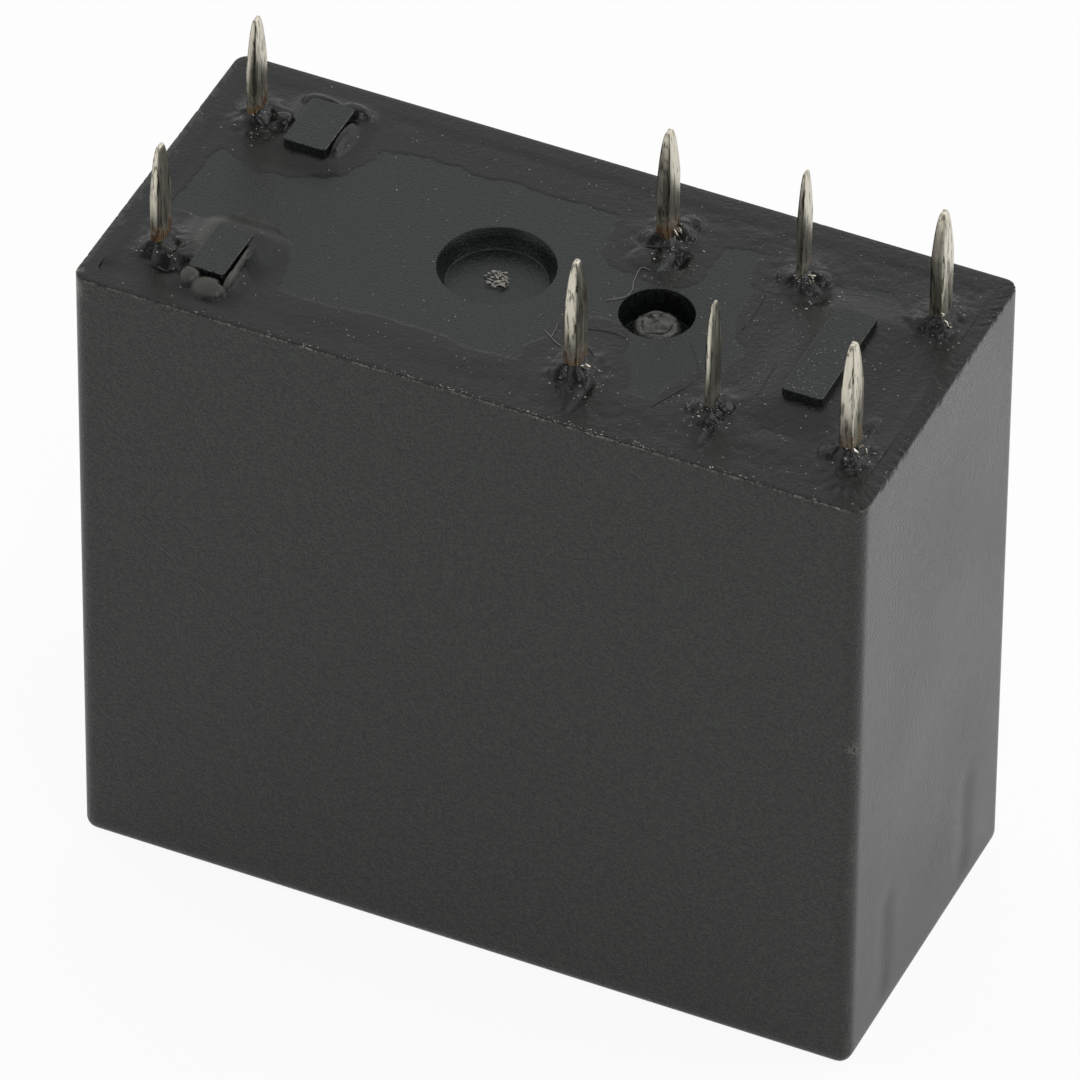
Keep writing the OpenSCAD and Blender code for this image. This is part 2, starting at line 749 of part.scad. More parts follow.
// Riveted contact button with its face at the origin, looking along -X, and its plate behind
module fixed_contact() {
    edge = 0.15;
    upset_lip = 0.25;
    upset_r = shank_d / 2 + upset_lip;
    upset_h = 0.25;
    behind = contact_t + fixed_t;
    axis_x() rotate_extrude() polygon([
        [0, 0], [contact_d / 2 - edge, 0], [contact_d / 2, edge], [contact_d / 2, contact_t],
        [shank_d / 2, contact_t], [shank_d / 2, behind], [upset_r, behind],
        [upset_r, behind + upset_h], [0, behind + upset_h]
    ]);
}

module nc_contact(side) {
    color([0.83, 0.83, 0.8]) translate([nc_face_x, side * row_y, contact_z])
        mirror([1, 0, 0]) fixed_contact();
}

module no_contact(side) {
    color([0.83, 0.83, 0.8]) translate([no_face_x, side * row_y, contact_z]) fixed_contact();
}

module moving_spring(side) {
    leaf_low = contact_z - leaf_foot;
    leaf_high = rivet_z + leaf_over;
    rivet_gap = 0.1;
    end_r = 0.6;
    color([0.8, 0.58, 0.34]) difference() {
        translate([leaf_x, side * row_y, (leaf_low + leaf_high) / 2])
            along(leaf_t) round_rect(leaf_w, leaf_high - leaf_low, end_r);
        translate([leaf_x - cut, side * row_y, contact_z]) axis_x() cylinder(h = 2 * cut, d = shank_d);
        for (s = [-1, 1])
            translate([leaf_x - cut, side * row_y + s * rivet_pitch / 2, rivet_z])
                axis_x() cylinder(h = 2 * cut, d = rivet_d + 2 * rivet_gap);
    }
}

module moving_contact(side) {
    color([0.85, 0.85, 0.82]) translate([leaf_x, side * row_y, contact_z]) {
        axis_x() cylinder(h = leaf_t, d = shank_d, center = true);
        for (s = [0, 1]) mirror([s, 0, 0]) intersection() {
            translate([leaf_t / 2, 0, 0]) axis_x() cylinder(h = contact_t, d = contact_d);
            translate([dome_x, 0, 0]) axis_x() sphere(dome_r);
        }
    }
}

module spring_rivets() {
    head_h = 0.25;
    rim = 0.25;
    head_d = rivet_d + 2 * rim;
    back_x = com_x - com_t / 2;
    head_x = leaf_x + leaf_t / 2 + rivet_head_gap;
    color([0.75, 0.62, 0.4])
    for (side = [front, back], s = [-1, 1])
        translate([0, side * row_y + s * rivet_pitch / 2, rivet_z]) {
            translate([back_x - head_h, 0, 0]) axis_x() cylinder(h = head_h, d = head_d);
            translate([back_x - head_h, 0, 0]) axis_x() cylinder(h = head_x + head_h - back_x, d = rivet_d);
            translate([head_x, 0, 0]) axis_x() cylinder(h = head_h, d = head_d);
        }
}

case();
base();
sealant();
vent_plug();
bobbin();
coil_winding();
coil_tape();
lead_wraps();
core();
yoke();
armature();
hinge_spring();
card();
coil_terminal(front);  // coil_terminal_front
coil_terminal(back);  // coil_terminal_back
fixed_terminal(front, nc_x, nc_plate_x);  // nc_terminal_front
fixed_terminal(back, nc_x, nc_plate_x);  // nc_terminal_back
com_terminal(front);  // com_terminal_front
com_terminal(back);  // com_terminal_back
fixed_terminal(front, no_x, no_plate_x);  // no_terminal_front
fixed_terminal(back, no_x, no_plate_x);  // no_terminal_back
nc_contact(front);  // nc_contact_front
nc_contact(back);  // nc_contact_back
no_contact(front);  // no_contact_front
no_contact(back);  // no_contact_back
moving_spring(front);  // moving_spring_front
moving_spring(back);  // moving_spring_back
moving_contact(front);  // moving_contact_front
moving_contact(back);  // moving_contact_back
spring_rivets();
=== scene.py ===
import math
import random

import bmesh
import bpy
from mathutils import Matrix, Quaternion, Vector, noise


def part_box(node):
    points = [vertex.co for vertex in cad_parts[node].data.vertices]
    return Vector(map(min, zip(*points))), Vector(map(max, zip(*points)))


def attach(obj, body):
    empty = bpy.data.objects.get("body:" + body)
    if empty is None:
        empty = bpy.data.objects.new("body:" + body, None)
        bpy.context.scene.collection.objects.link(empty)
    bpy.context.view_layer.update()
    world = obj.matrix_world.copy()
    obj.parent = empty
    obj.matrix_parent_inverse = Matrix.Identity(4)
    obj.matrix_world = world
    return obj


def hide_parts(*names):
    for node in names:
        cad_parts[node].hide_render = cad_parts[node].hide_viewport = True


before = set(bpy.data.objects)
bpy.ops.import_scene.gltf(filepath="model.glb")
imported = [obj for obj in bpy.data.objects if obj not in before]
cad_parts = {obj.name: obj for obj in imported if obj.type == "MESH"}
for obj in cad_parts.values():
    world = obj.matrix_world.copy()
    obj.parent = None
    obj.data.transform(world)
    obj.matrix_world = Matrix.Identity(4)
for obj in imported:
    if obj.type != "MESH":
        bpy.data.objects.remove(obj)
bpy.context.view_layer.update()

# Sizes and places are in millimetres until a finished mesh is scaled to metres
MM = 0.001
TINY = 1e-4
SEED = 11


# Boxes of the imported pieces, in millimetres
def box(node):
    low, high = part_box(node)
    return low / MM, high / MM


CASE_LOW, CASE_HIGH = box("case")
RESIN_LOW, RESIN_HIGH = box("sealant")
BASE_HIGH = box("base")[1]
PLUG_LOW, PLUG_HIGH = box("vent_plug")
RIM_Z = CASE_HIGH.z
PAD_Z = BASE_HIGH.z
TERMINALS = [n for n in sorted(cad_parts) if "_terminal_" in n]


# Centre, thickness and width of a terminal's blade where it stands above the rim
def blade_section(node):
    points = [v.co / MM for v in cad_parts[node].data.vertices if v.co.z > RIM_Z * MM]
    xs = [p.x for p in points]
    ys = [p.y for p in points]
    centre = Vector(((min(xs) + max(xs)) / 2, (min(ys) + max(ys)) / 2))
    return centre, max(xs) - min(xs), max(ys) - min(ys)


SECTIONS = {node: blade_section(node) for node in TERMINALS}

# Levels and outlines of the base that the resin follows
FACE_Z = RIM_Z - 0.05
RESIN_Z = RIM_Z - 0.03
CHANNEL_Z = RESIN_LOW.z
CAVITY = Vector((RESIN_HIGH.x, RESIN_HIGH.y))
CAVITY_R = 0.4
FACE_HALF = CAVITY - Vector((0.6, 1.6))
FACE_R = 0.8
WELL_R = 1.7
# Centre and half size of the coil-end pads; the inner wall of the front one stands back by the short wall,
# which leaves a crack beside the resin
SHORT_WALL = 0.27
COIL_PADS = [
    (Vector((-10.15 - SHORT_WALL / 2, -3.7)), Vector((0.8 - SHORT_WALL / 2, 1.225))),
    (Vector((-10.15, 3.7)), Vector((0.8, 1.225))),
]
END_PAD = Vector((10.4, 0))
END_PAD_HALF = Vector((0.75, 2.35))
RECESS_X = -1.8
RECESS_R = 2.1
PLUG_X = (PLUG_LOW.x + PLUG_HIGH.x) / 2
VENT_R = 1.38
RECESS_FLOOR = FACE_Z - 0.75


# Small helpers for meshes
def smooth_step(low, high, value):
    t = min(1.0, max(0.0, (value - low) / (high - low)))
    return t * t * (3 - 2 * t)


def rough(point, size, seed=0.0):
    """Noise from -1 to 1 whose lumps are about size millimetres across."""
    return noise.noise(Vector(point) / size + Vector((seed, 3 * seed, 7 * seed)))


def outward(bm):
    bmesh.ops.remove_doubles(bm, verts=bm.verts, dist=TINY)
    bmesh.ops.recalc_face_normals(bm, faces=bm.faces)


def piece(name, bm, materials, replaces=(), sharp=40, even_normals=False):
    """Makes a finished mesh a piece of the part, in metres at the origin, riding on the fixed body."""
    bmesh.ops.scale(bm, vec=(MM, MM, MM), verts=bm.verts)
    mesh = bpy.data.meshes.new(name)
    bm.to_mesh(mesh)
    bm.free()
    mesh.shade_smooth()
    mesh.set_sharp_from_angle(angle=math.radians(sharp))
    obj = bpy.data.objects.new(name, mesh)
    bpy.context.scene.collection.objects.link(obj)
    for material in materials:
        mesh.materials.append(material)
    if even_normals:
        obj.modifiers.new("even_normals", "WEIGHTED_NORMAL").keep_sharp = True
    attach(obj, "root")
    if replaces:
        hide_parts(*replaces)
    return obj


def copy_of(node):
    """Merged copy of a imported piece's mesh, in millimetres, flat faces whole again."""
    bm = bmesh.new()
    bm.from_mesh(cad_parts[node].data)
    bmesh.ops.scale(bm, vec=(1 / MM, 1 / MM, 1 / MM), verts=bm.verts)
    bmesh.ops.remove_doubles(bm, verts=bm.verts, dist=TINY)
    bmesh.ops.dissolve_limit(bm, angle_limit=math.radians(1), verts=bm.verts, edges=bm.edges)
    return bm


def round_edges(bm, edges, offset, segments):
    bmesh.ops.bevel(
        bm, geom=edges, offset=offset, segments=segments, profile=0.5,
        affect="EDGES", clamp_overlap=True, material=-1,
    )


def sharp_edges(bm, angle, low_z):
    """Edges above a level whose two faces meet at more than an angle in degrees."""
    limit = math.radians(angle)
    return [
        e for e in bm.edges
        if len(e.link_faces) == 2 and e.calc_face_angle(0) > limit
        and min(v.co.z for v in e.verts) > low_z
    ]


# Small helpers for materials
def linear(code):
    """Linear colour of an sRGB hex code."""
    parts = [int(code[i:i + 2], 16) / 255 for i in (1, 3, 5)]
    return (*[p / 12.92 if p <= 0.04045 else ((p + 0.055) / 1.055) ** 2.4 for p in parts], 1)


def per(size):
    """Pattern scale that makes one feature about size millimetres across."""
    return 1 / (size * MM)


def add(tree, kind, inputs=None, **settings):
    """Adds a node: settings go on the node, inputs are linked if they are sockets and set if not."""
    node = tree.nodes.new(kind)
    for key, value in settings.items():
        setattr(node, key, value)
    for key, value in (inputs or {}).items():
        if isinstance(value, bpy.types.NodeSocket):
            tree.links.new(value, node.inputs[key])
        else:
            node.inputs[key].default_value = value
    return node


def new_material(name):
    """Empty node tree of a new material, and its object coordinates."""
    material = bpy.data.materials.new(name)
    material.use_nodes = True
    tree = material.node_tree
    tree.nodes.clear()
    return material, tree, add(tree, "ShaderNodeTexCoord").outputs["Object"]


def flecked(tree, pattern, low, high, dark, light):
    """Flecks of two colours from one pattern: the share of the light one, and the colour."""
    share = add(tree, "ShaderNodeMapRange", {"Value": pattern, "From Min": low, "From Max": high})
    colour = add(tree, "ShaderNodeMix", {
        0: share.outputs[0], 6: linear(dark), 7: linear(light),
    }, data_type="RGBA")
    return share.outputs[0], colour.outputs[2]


def rubbed(tree, colour, flecks, pale):
    """A colour that turns pale on the flecks where the piece is worn."""
    wear = add(tree, "ShaderNodeAttribute", attribute_name="wear").outputs["Fac"]
    share = add(tree, "ShaderNodeMath", {0: wear, 1: flecks}, operation="MULTIPLY")
    marked = add(tree, "ShaderNodeMix", {
        0: share.outputs[0], 6: colour, 7: linear(pale),
    }, data_type="RGBA")
    return marked.outputs[2]


def dusted(tree, place, colour, spacing, core, edge, strength, dust):
    """A colour with round specks of dust that fade from a core to an edge, in shares of their spacing."""
    cells = add(tree, "ShaderNodeTexVoronoi", {"Vector": place, "Scale": per(spacing), "Randomness": 1})
    speck = add(tree, "ShaderNodeMapRange", {
        "Value": cells.outputs["Distance"], "From Min": core, "From Max": edge,
        "To Min": strength, "To Max": 0,
    })
    dusty = add(tree, "ShaderNodeMix", {
        0: speck.outputs[0], 6: colour, 7: linear(dust),
    }, data_type="RGBA")
    return dusty.outputs[2]


def textured(tree, sheen, heights, gloss, strength, depth):
    """Gloss between two limits that follows one pattern, and relief in millimetres that follows another."""
    spread = add(tree, "ShaderNodeMapRange", {
        "Value": sheen, "From Min": 0.3, "From Max": 0.7, "To Min": gloss[0], "To Max": gloss[1],
    })
    bump = add(tree, "ShaderNodeBump", {"Height": heights, "Strength": strength, "Distance": depth * MM})
    return spread.outputs[0], bump.outputs[0]


def moulded_black_pbt():
    # Polyester moulded in an eroded tool: near black, satin, cloudy in gloss; a fine grain, drawn coarser
    # than the tool's own so that it shows, breaks up reflections; nicks and rubbed corners are paler
    material, tree, place = new_material("moulded_black_pbt")
    cloud = add(tree, "ShaderNodeTexNoise", {"Vector": place, "Scale": per(7), "Detail": 5})
    grain = add(tree, "ShaderNodeTexNoise", {"Vector": place, "Scale": per(0.08), "Detail": 2})
    peel = add(tree, "ShaderNodeTexNoise", {"Vector": place, "Scale": per(0.6), "Detail": 2})
    flecks, colour = flecked(tree, grain.outputs["Fac"], 0.35, 0.65, "#000000", "#272b26")
    marked = rubbed(tree, colour, flecks, "#a29e93")
    heights = add(tree, "ShaderNodeMath", {
        0: peel.outputs["Fac"], 1: 0.25, 2: grain.outputs["Fac"],
    }, operation="MULTIPLY_ADD")
    gloss, bump = textured(tree, cloud.outputs["Fac"], heights.outputs[0], (0.2, 0.28), 0.5, 0.055)
    shader = add(tree, "ShaderNodeBsdfPrincipled", {
        "Base Color": marked, "Roughness": gloss, "Normal": bump,
        "IOR": 1.46, "Specular Tint": linear("#fcfffb"),
    })
    add(tree, "ShaderNodeOutputMaterial", {"Surface": shader.outputs[0]})
    return material


def moulded_grey_black_pbt():
    # The same polyester off a smoother tool: even bluish black, fine grain, with sparse pale dust and
    # rubbed edges
    material, tree, place = new_material("moulded_grey_black_pbt")
    grain = add(tree, "ShaderNodeTexNoise", {"Vector": place, "Scale": per(0.08), "Detail": 3})
    flecks, colour = flecked(tree, grain.outputs["Fac"], 0.35, 0.65, "#000000", "#1b201f")
    dusty = dusted(tree, place, colour, 0.7, 0.02, 0.05, 0.4, "#8f8d86")
    marked = rubbed(tree, dusty, flecks, "#807e78")
    gloss, bump = textured(tree, grain.outputs["Fac"], grain.outputs["Fac"], (0.24, 0.34), 0.5, 0.04)
    shader = add(tree, "ShaderNodeBsdfPrincipled", {
        "Base Color": marked, "Roughness": gloss, "Normal": bump,
        "IOR": 1.44, "Specular Tint": linear("#f8fffe"),
    })
    add(tree, "ShaderNodeOutputMaterial", {"Surface": shader.outputs[0]})
    return material


def cured_black_epoxy():
    # Poured and cured epoxy: brownish black, matt where it skinned over, greyer under the dry skin of the
    # lobes and the coil-end heap, a paleness that is partly painted light on slopes facing away,
    # wet-looking on the lumps at the terminals, with pale dust caught in it
    material, tree, place = new_material("cured_black_epoxy")
    wet = add(tree, "ShaderNodeAttribute", attribute_name="wet").outputs["Fac"]
    cloud = add(tree, "ShaderNodeTexNoise", {"Vector": place, "Scale": per(2.5), "Detail": 5})
    skin = add(tree, "ShaderNodeTexNoise", {"Vector": place, "Scale": per(0.13), "Detail": 4})
    black = flecked(tree, skin.outputs["Fac"], 0.3, 0.7, "#000000", "#1c1f1d")[1]
    colour = add(tree, "ShaderNodeMix", {
        0: cloud.outputs["Fac"], 6: black, 7: linear("#12110e"),
    }, data_type="RGBA")
    dusty = dusted(tree, place, colour.outputs[2], 0.5, 0.03, 0.08, 0.6, "#a3a099")
    # Paler grey under the dry skin: partly real, partly painted light on slopes facing away
    dry_skin_and_painted_light = add(tree, "ShaderNodeMapRange", {
        "Value": wet, "From Min": 0, "From Max": -1, "To Min": 0, "To Max": 0.5,
    })
    skinned_and_painted_light = add(tree, "ShaderNodeMix", {
        0: dry_skin_and_painted_light.outputs[0], 6: dusty, 7: linear("#5b5954"),
    }, data_type="RGBA")
    leather = add(tree, "ShaderNodeTexNoise", {
        "Vector": place, "Scale": per(0.35), "Detail": 3, "Distortion": 1.2,
    })
    along = add(tree, "ShaderNodeSeparateXYZ", {"Vector": place})
    coarse = add(tree, "ShaderNodeMapRange", {
        "Value": along.outputs["X"], "From Min": -4 * MM, "From Max": 7 * MM, "To Min": 0.3, "To Max": 2,
    })
    heights = add(tree, "ShaderNodeMath", {
        0: leather.outputs["Fac"], 1: coarse.outputs[0], 2: skin.outputs["Fac"],
    }, operation="MULTIPLY_ADD")
    matt, bump = textured(tree, skin.outputs["Fac"], heights.outputs[0], (0.28, 0.42), 0.5, 0.04)
    gloss = add(tree, "ShaderNodeMix", {0: wet, 2: matt, 3: 0.08}, clamp_factor=True)
    shader = add(tree, "ShaderNodeBsdfPrincipled", {
        "Base Color": skinned_and_painted_light.outputs[2], "Roughness": gloss.outputs[0], "Normal": bump,
        "IOR": 1.405, "Specular Tint": linear("#f9fffd"),
    })
    add(tree, "ShaderNodeOutputMaterial", {"Surface": shader.outputs[0]})
    return material


def cast_grey_resin():
    # A drop of unfilled resin that closed the vent: grey, glassy, streaky inside
    material, tree, place = new_material("cast_grey_resin")
    streak = add(tree, "ShaderNodeTexNoise", {
        "Vector": place, "Scale": per(0.4), "Detail": 5, "Distortion": 1.5,
    })
    colour = flecked(tree, streak.outputs["Fac"], 0.35, 0.65, "#0e0f0e", "#565651")[1]
    gloss, bump = textured(tree, streak.outputs["Fac"], streak.outputs["Fac"], (0.1, 0.35), 0.5, 0.06)
    shader = add(tree, "ShaderNodeBsdfPrincipled", {
        "Base Color": colour, "Roughness": gloss, "Normal": bump, "IOR": 1.5,
    })
    add(tree, "ShaderNodeOutputMaterial", {"Surface": shader.outputs[0]})
    return material


def hot_dipped_tin():
    # Tin dipped over stamped copper alloy: bright and slightly warm, drawn into upright streaks with dark
    # pits, with painted shade darkening the blade's upright corners, with bare reddish alloy where the tin
    # stops at the foot
    material, tree, place = new_material("hot_dipped_tin")
    drawn = add(tree, "ShaderNodeMapping", {"Vector": place, "Scale": (1, 1, 0.06)})
    streak = add(tree, "ShaderNodeTexNoise", {
        "Vector": drawn.outputs[0], "Scale": per(0.13), "Detail": 4,
    })
    broken = add(tree, "ShaderNodeMapping", {"Vector": place, "Scale": (1, 1, 0.15)})
    pit = add(tree, "ShaderNodeTexNoise", {
        "Vector": broken.outputs[0], "Scale": per(0.1), "Detail": 4,
    })
    bare_share = add(tree, "ShaderNodeAttribute", attribute_name="bare").outputs["Fac"]
    shaded_corner = add(tree, "ShaderNodeAttribute", attribute_name="shaded_corner").outputs["Fac"]
    patch = add(tree, "ShaderNodeTexNoise", {"Vector": place, "Scale": per(0.3), "Detail": 3})
    height = add(tree, "ShaderNodeSeparateXYZ", {"Vector": place})
    ragged = add(tree, "ShaderNodeMath", {
        0: patch.outputs["Fac"], 1: -2.2 * MM, 2: height.outputs["Z"],
    }, operation="MULTIPLY_ADD")
    bare = add(tree, "ShaderNodeMapRange", {
        "Value": ragged.outputs[0], "From Min": (RIM_Z - 0.4) * MM, "From Max": (RIM_Z + 0.05) * MM,
        "To Min": 0.9, "To Max": 0,
    })
    rust = add(tree, "ShaderNodeMath", {0: bare.outputs[0], 1: bare_share}, operation="MULTIPLY")
    tin = add(tree, "ShaderNodeMix", {
        0: streak.outputs["Fac"], 6: linear("#aca692"), 7: linear("#f4efe0"),
    }, data_type="RGBA")
    dark = add(tree, "ShaderNodeMapRange", {
        "Value": pit.outputs["Fac"], "From Min": 0.55, "From Max": 0.64, "To Min": 0, "To Max": 0.7,
    })
    # Painted shade: the blade's upright corners are darkened towards the colour of its pits
    marked = add(tree, "ShaderNodeMath", {
        0: shaded_corner, 1: 0.6, 2: dark.outputs[0],
    }, operation="MULTIPLY_ADD", use_clamp=True)
    pitted_and_shaded = add(tree, "ShaderNodeMix", {
        0: marked.outputs[0], 6: tin.outputs[2], 7: linear("#3d3a31"),
    }, data_type="RGBA")
    oxide = flecked(tree, pit.outputs["Fac"], 0.4, 0.55, "#7d6338", "#4a200d")[1]
    colour = add(tree, "ShaderNodeMix", {
        0: rust.outputs[0], 6: pitted_and_shaded.outputs[2], 7: oxide,
    }, data_type="RGBA")
    metal = add(tree, "ShaderNodeMath", {0: rust.outputs[0], 1: -0.7, 2: 1}, operation="MULTIPLY_ADD")
    gloss, bump = textured(tree, streak.outputs["Fac"], streak.outputs["Fac"], (0.24, 0.42), 0.5, 0.03)
    shader = add(tree, "ShaderNodeBsdfPrincipled", {
        "Base Color": colour.outputs[2], "Roughness": gloss, "Normal": bump, "Metallic": metal.outputs[0],
    })
    add(tree, "ShaderNodeOutputMaterial", {"Surface": shader.outputs[0]})
    return material


def plain_finish(name, dark, light, grain_size, gloss_range, metal, stretch=(1, 1, 1), bump_height=0.01):
    """A finish with one drawn or moulded grain that varies its colour, gloss and height."""
    material, tree, place = new_material(name)
    drawn = add(tree, "ShaderNodeMapping", {"Vector": place, "Scale": stretch})
    grain = add(tree, "ShaderNodeTexNoise", {
        "Vector": drawn.outputs[0], "Scale": per(grain_size), "Detail": 4,
    })
    colour = add(tree, "ShaderNodeMix", {
        0: grain.outputs["Fac"], 6: linear(dark), 7: linear(light),
    }, data_type="RGBA")
    gloss, bump = textured(tree, grain.outputs["Fac"], grain.outputs["Fac"], gloss_range, 0.4, bump_height)
    shader = add(tree, "ShaderNodeBsdfPrincipled", {
        "Base Color": colour.outputs[2], "Roughness": gloss, "Normal": bump, "Metallic": metal,
    })
    add(tree, "ShaderNodeOutputMaterial", {"Surface": shader.outputs[0]})
    return material


# Case: a moulded box, closed below, with soft sink marks outside its ribs and a chipped rim
CASE_R = 0.5
CASE_CUTS = (150, 66, 80)
CAVITY_CUTS = (150, 66, 5)
CAVITY_FLOOR = 0.7
# The rim: radius of its edge, a cut below it, the band that is meshed finely and its coarsest step, the
# band that chips, and how far outside the cavity a point counts as wall
LIP_R = 0.05
RIM_CUT = 0.13
RIM_BAND = 0.2
RIM_STEP = 0.1
CHIP_BAND = 0.08
WALL_CLEAR = 0.2
# Sink marks on the contact end: place and top, then depth, half width and where they fade in and out
SINKS = [(-3.6, 6.3), (3.3, 6.3)]
SINK_DEPTH = 0.07
SINK_HALF = 0.55
SINK_FOOT = (0.6, 1.8)
SINK_FADE = 1.6
# Resin was smeared over the rim from here to the contact end
SMEAR_X = -14.3
# How far the front rim's edge is rubbed pale between its nicks
FRONT_WEAR = 0.5
# Scuffs on the outside: place, size and strength
SCUFFS = [
    ((14.5, 6.28, 8.2), 0.2, 0.7), ((14.5, 5.4, 6.4), 0.6, 0.07), ((14.4, -6.5, 14.5), 0.25, 0.35),
    ((-14.4, -6.5, 24.5), 0.3, 0.6),
]


def open_box(bm, low, high, corner, cuts):
    """Box without a lid, its upright and low edges rounded, cut into a grid along each axis."""
    old = set(bm.edges)
    made = bmesh.ops.create_cube(bm, size=1)["verts"]
    bmesh.ops.scale(bm, vec=high - low, verts=made)
    bmesh.ops.translate(bm, vec=(low + high) / 2, verts=made)
    top = high.z - TINY
    rounded = [e for e in bm.edges if e not in old and min(v.co.z for v in e.verts) < top]
    round_edges(bm, rounded, corner, 5)
    lid = [f for f in bm.faces if min(v.co.z for v in f.verts) > top]
    bmesh.ops.delete(bm, geom=lid, context="FACES_ONLY")
    for axis in range(3):
        along = [
            e for e in bm.edges if e not in old
            and abs(e.verts[0].co[axis] - e.verts[1].co[axis]) > 0.99 * (high - low)[axis] - 2 * corner
        ]
        bmesh.ops.subdivide_edges(bm, edges=along, cuts=cuts[axis], use_grid_fill=True)


def chip(point):
    """Depth of the nicks along the rim: sparse at the coil end, a ragged fringe at the contact end."""
    cluster = 0.5 + 0.5 * rough(point, 1.6, 2.0)
    share = smooth_step(-6, 4, point.x)
    fringe = smooth_step(CASE_HIGH.x - 0.8, CASE_HIGH.x - 0.3, point.x)
    fine = rough(point, 0.17, 5.0) + 0.5 * rough(point, 0.4, 8.0)
    kept = 1 - 0.9 * smooth_step(2, 6, point.y) * (1 - fringe)
    return kept * max(0.0, fine - 0.15 + 0.2 * fringe) * (0.03 + 0.08 * share * cluster + 0.03 * fringe)


def make_case(resin):
    bm = bmesh.new()
    open_box(bm, CASE_LOW, CASE_HIGH, CASE_R, CASE_CUTS)
    inner_low = Vector((-CAVITY.x, -CAVITY.y, CAVITY_FLOOR))
    inner_high = Vector((CAVITY.x, CAVITY.y, RIM_Z))
    open_box(bm, inner_low, inner_high, CAVITY_R, CAVITY_CUTS)
    rim = [e for e in bm.edges if e.is_boundary]
    bmesh.ops.bridge_loops(bm, edges=rim)
    outward(bm)
    lip = [
        e for e in bm.edges
        if min(v.co.z for v in e.verts) > RIM_Z - TINY
        and all(abs(v.co.x) > CAVITY.x + 0.1 or abs(v.co.y) > CAVITY.y + 0.1 for v in e.verts)
        and e.calc_face_angle(0) > 1
    ]
    round_edges(bm, lip, LIP_R, 2)
    bmesh.ops.bisect_plane(
        bm, geom=bm.verts[:] + bm.edges[:] + bm.faces[:],
        plane_co=(0, 0, RIM_Z - RIM_CUT), plane_no=(0, 0, 1),
    )
    near_rim = [
        e for e in bm.edges
        if min(v.co.z for v in e.verts) > RIM_Z - RIM_BAND and e.calc_length() > RIM_STEP
    ]
    bmesh.ops.subdivide_edges(bm, edges=near_rim, cuts=2, use_grid_fill=True)
    wear = bm.verts.layers.float.new("wear")
    end_x = CASE_HIGH.x
    for v in bm.verts:
        p = v.co.copy()
        at_wall = abs(p.x) > CAVITY.x + WALL_CLEAR or abs(p.y) > CAVITY.y + WALL_CLEAR
        if at_wall and p.z > RIM_Z - CHIP_BAND:
            depth = chip(p)
            v.co.z -= 0.8 * depth
            v.co.y -= math.copysign(depth, p.y) * (abs(p.y) > CAVITY.y)
            v.co.x -= math.copysign(depth, p.x) * (abs(p.x) > CAVITY.x)
            v[wear] = min(1.0, 8 * depth + FRONT_WEAR * (0.5 + rough(p, 0.5, 6.0))) * (p.y < -CAVITY.y)
        if p.x > end_x - TINY:
            for y, top in SINKS:
                across = math.exp(-((p.y - y) / SINK_HALF) ** 2)
                v.co.x -= (
                    SINK_DEPTH * across * smooth_step(*SINK_FOOT, p.z)
                    * smooth_step(top, top - SINK_FADE, p.z)
                )
        corner = min(end_x - abs(p.x), CASE_HIGH.y - abs(p.y))
        if at_wall and abs(p.x) > end_x - CASE_R and abs(p.y) > CASE_HIGH.y - CASE_R and corner > 0.05:
            v[wear] = max(v[wear], 0.4 * max(0.0, rough(p, 0.7, 4.0) - 0.3))
        for place, size, amount in SCUFFS:
            v[wear] += amount * math.exp(-((p - Vector(place)).length / size) ** 2)
    for f in bm.faces:
        c = f.calc_center_median()
        if c.z > RIM_Z - 0.1 and f.normal.z > 0.8 and c.x > SMEAR_X + 0.3 * rough(c, 0.5, 3.0):
            f.material_index = 1
    return piece("relay_case", bm, [moulded_black_pbt(), resin], ["case"], sharp=50)


# Base: pads, island, recess and vent with their edges broken
EDGE_BREAK = 0.05
# Band below a pad's top, from its lower to its upper limit, where the broken edge is rubbed pale
RUB_BAND = (0.02, 0.003)
# Where the inner wall of the front coil-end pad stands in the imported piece
WALL_X = (-9.6, -9.2)
WALL_Y = -2.2


def make_base():
    bm = copy_of("base")
    round_edges(bm, sharp_edges(bm, 35, CHANNEL_Z - 0.6), EDGE_BREAK, 2)
    wear = bm.verts.layers.float.new("wear")
    for v in bm.verts:
        if PAD_Z - RUB_BAND[0] < v.co.z < PAD_Z - RUB_BAND[1]:
            v[wear] = max(0.0, 0.7 + 0.9 * rough(v.co, 0.8, 2.0))
        if v.co.y < WALL_Y and WALL_X[0] < v.co.x < WALL_X[1] and v.co.z > FACE_Z - 0.01:
            v.co.x -= SHORT_WALL
    finish = moulded_grey_black_pbt()
    return piece("terminal_base", bm, [finish], ["base"], sharp=35, even_normals=True)


# Resin: a poured sheet, flush with the rim, that climbs the terminals, laps over the base's face and has
# dried lumpy; its mesh is finer within reach of the terminals and lobes
RESIN_STEP = 0.11
FINE_REACH = 1.4
PIN_CREEP = 0.36
PIN_CREEP_REACH = 0.26
FILM = 0.015
# Heights of its slow swell, of its ripple at the coil end and what is added at the contact end, and of the
# torn texture along the contact end and round its front corner
SWELL = 0.03
RIPPLE = 0.012
MORE_RIPPLE = 0.02
TORN = 0.05
TORN_CORNER = (13.6, -5.6)
# Fall towards the front wall, and where it starts and ends; the other walls are wetted to here
FRONT_FALL = 0.05
FRONT_Y = (-4.4, -5.9)
WETTED_Z = RIM_Z + 0.004
# Rise of the resin that is heaped round each pad, and behind the coil-end pad at the front
PAD_HEAP = 0.22
COIL_HEAP = 0.46
# Limits between which that last heap fades along the pad's inner wall, at its front end and away from it
HEAP_INNER_Y = (-3.1, -4.6)
HEAP_FRONT_Y = (-4.9, -4.3)
HEAP_REACH = (1.4, 0.05)
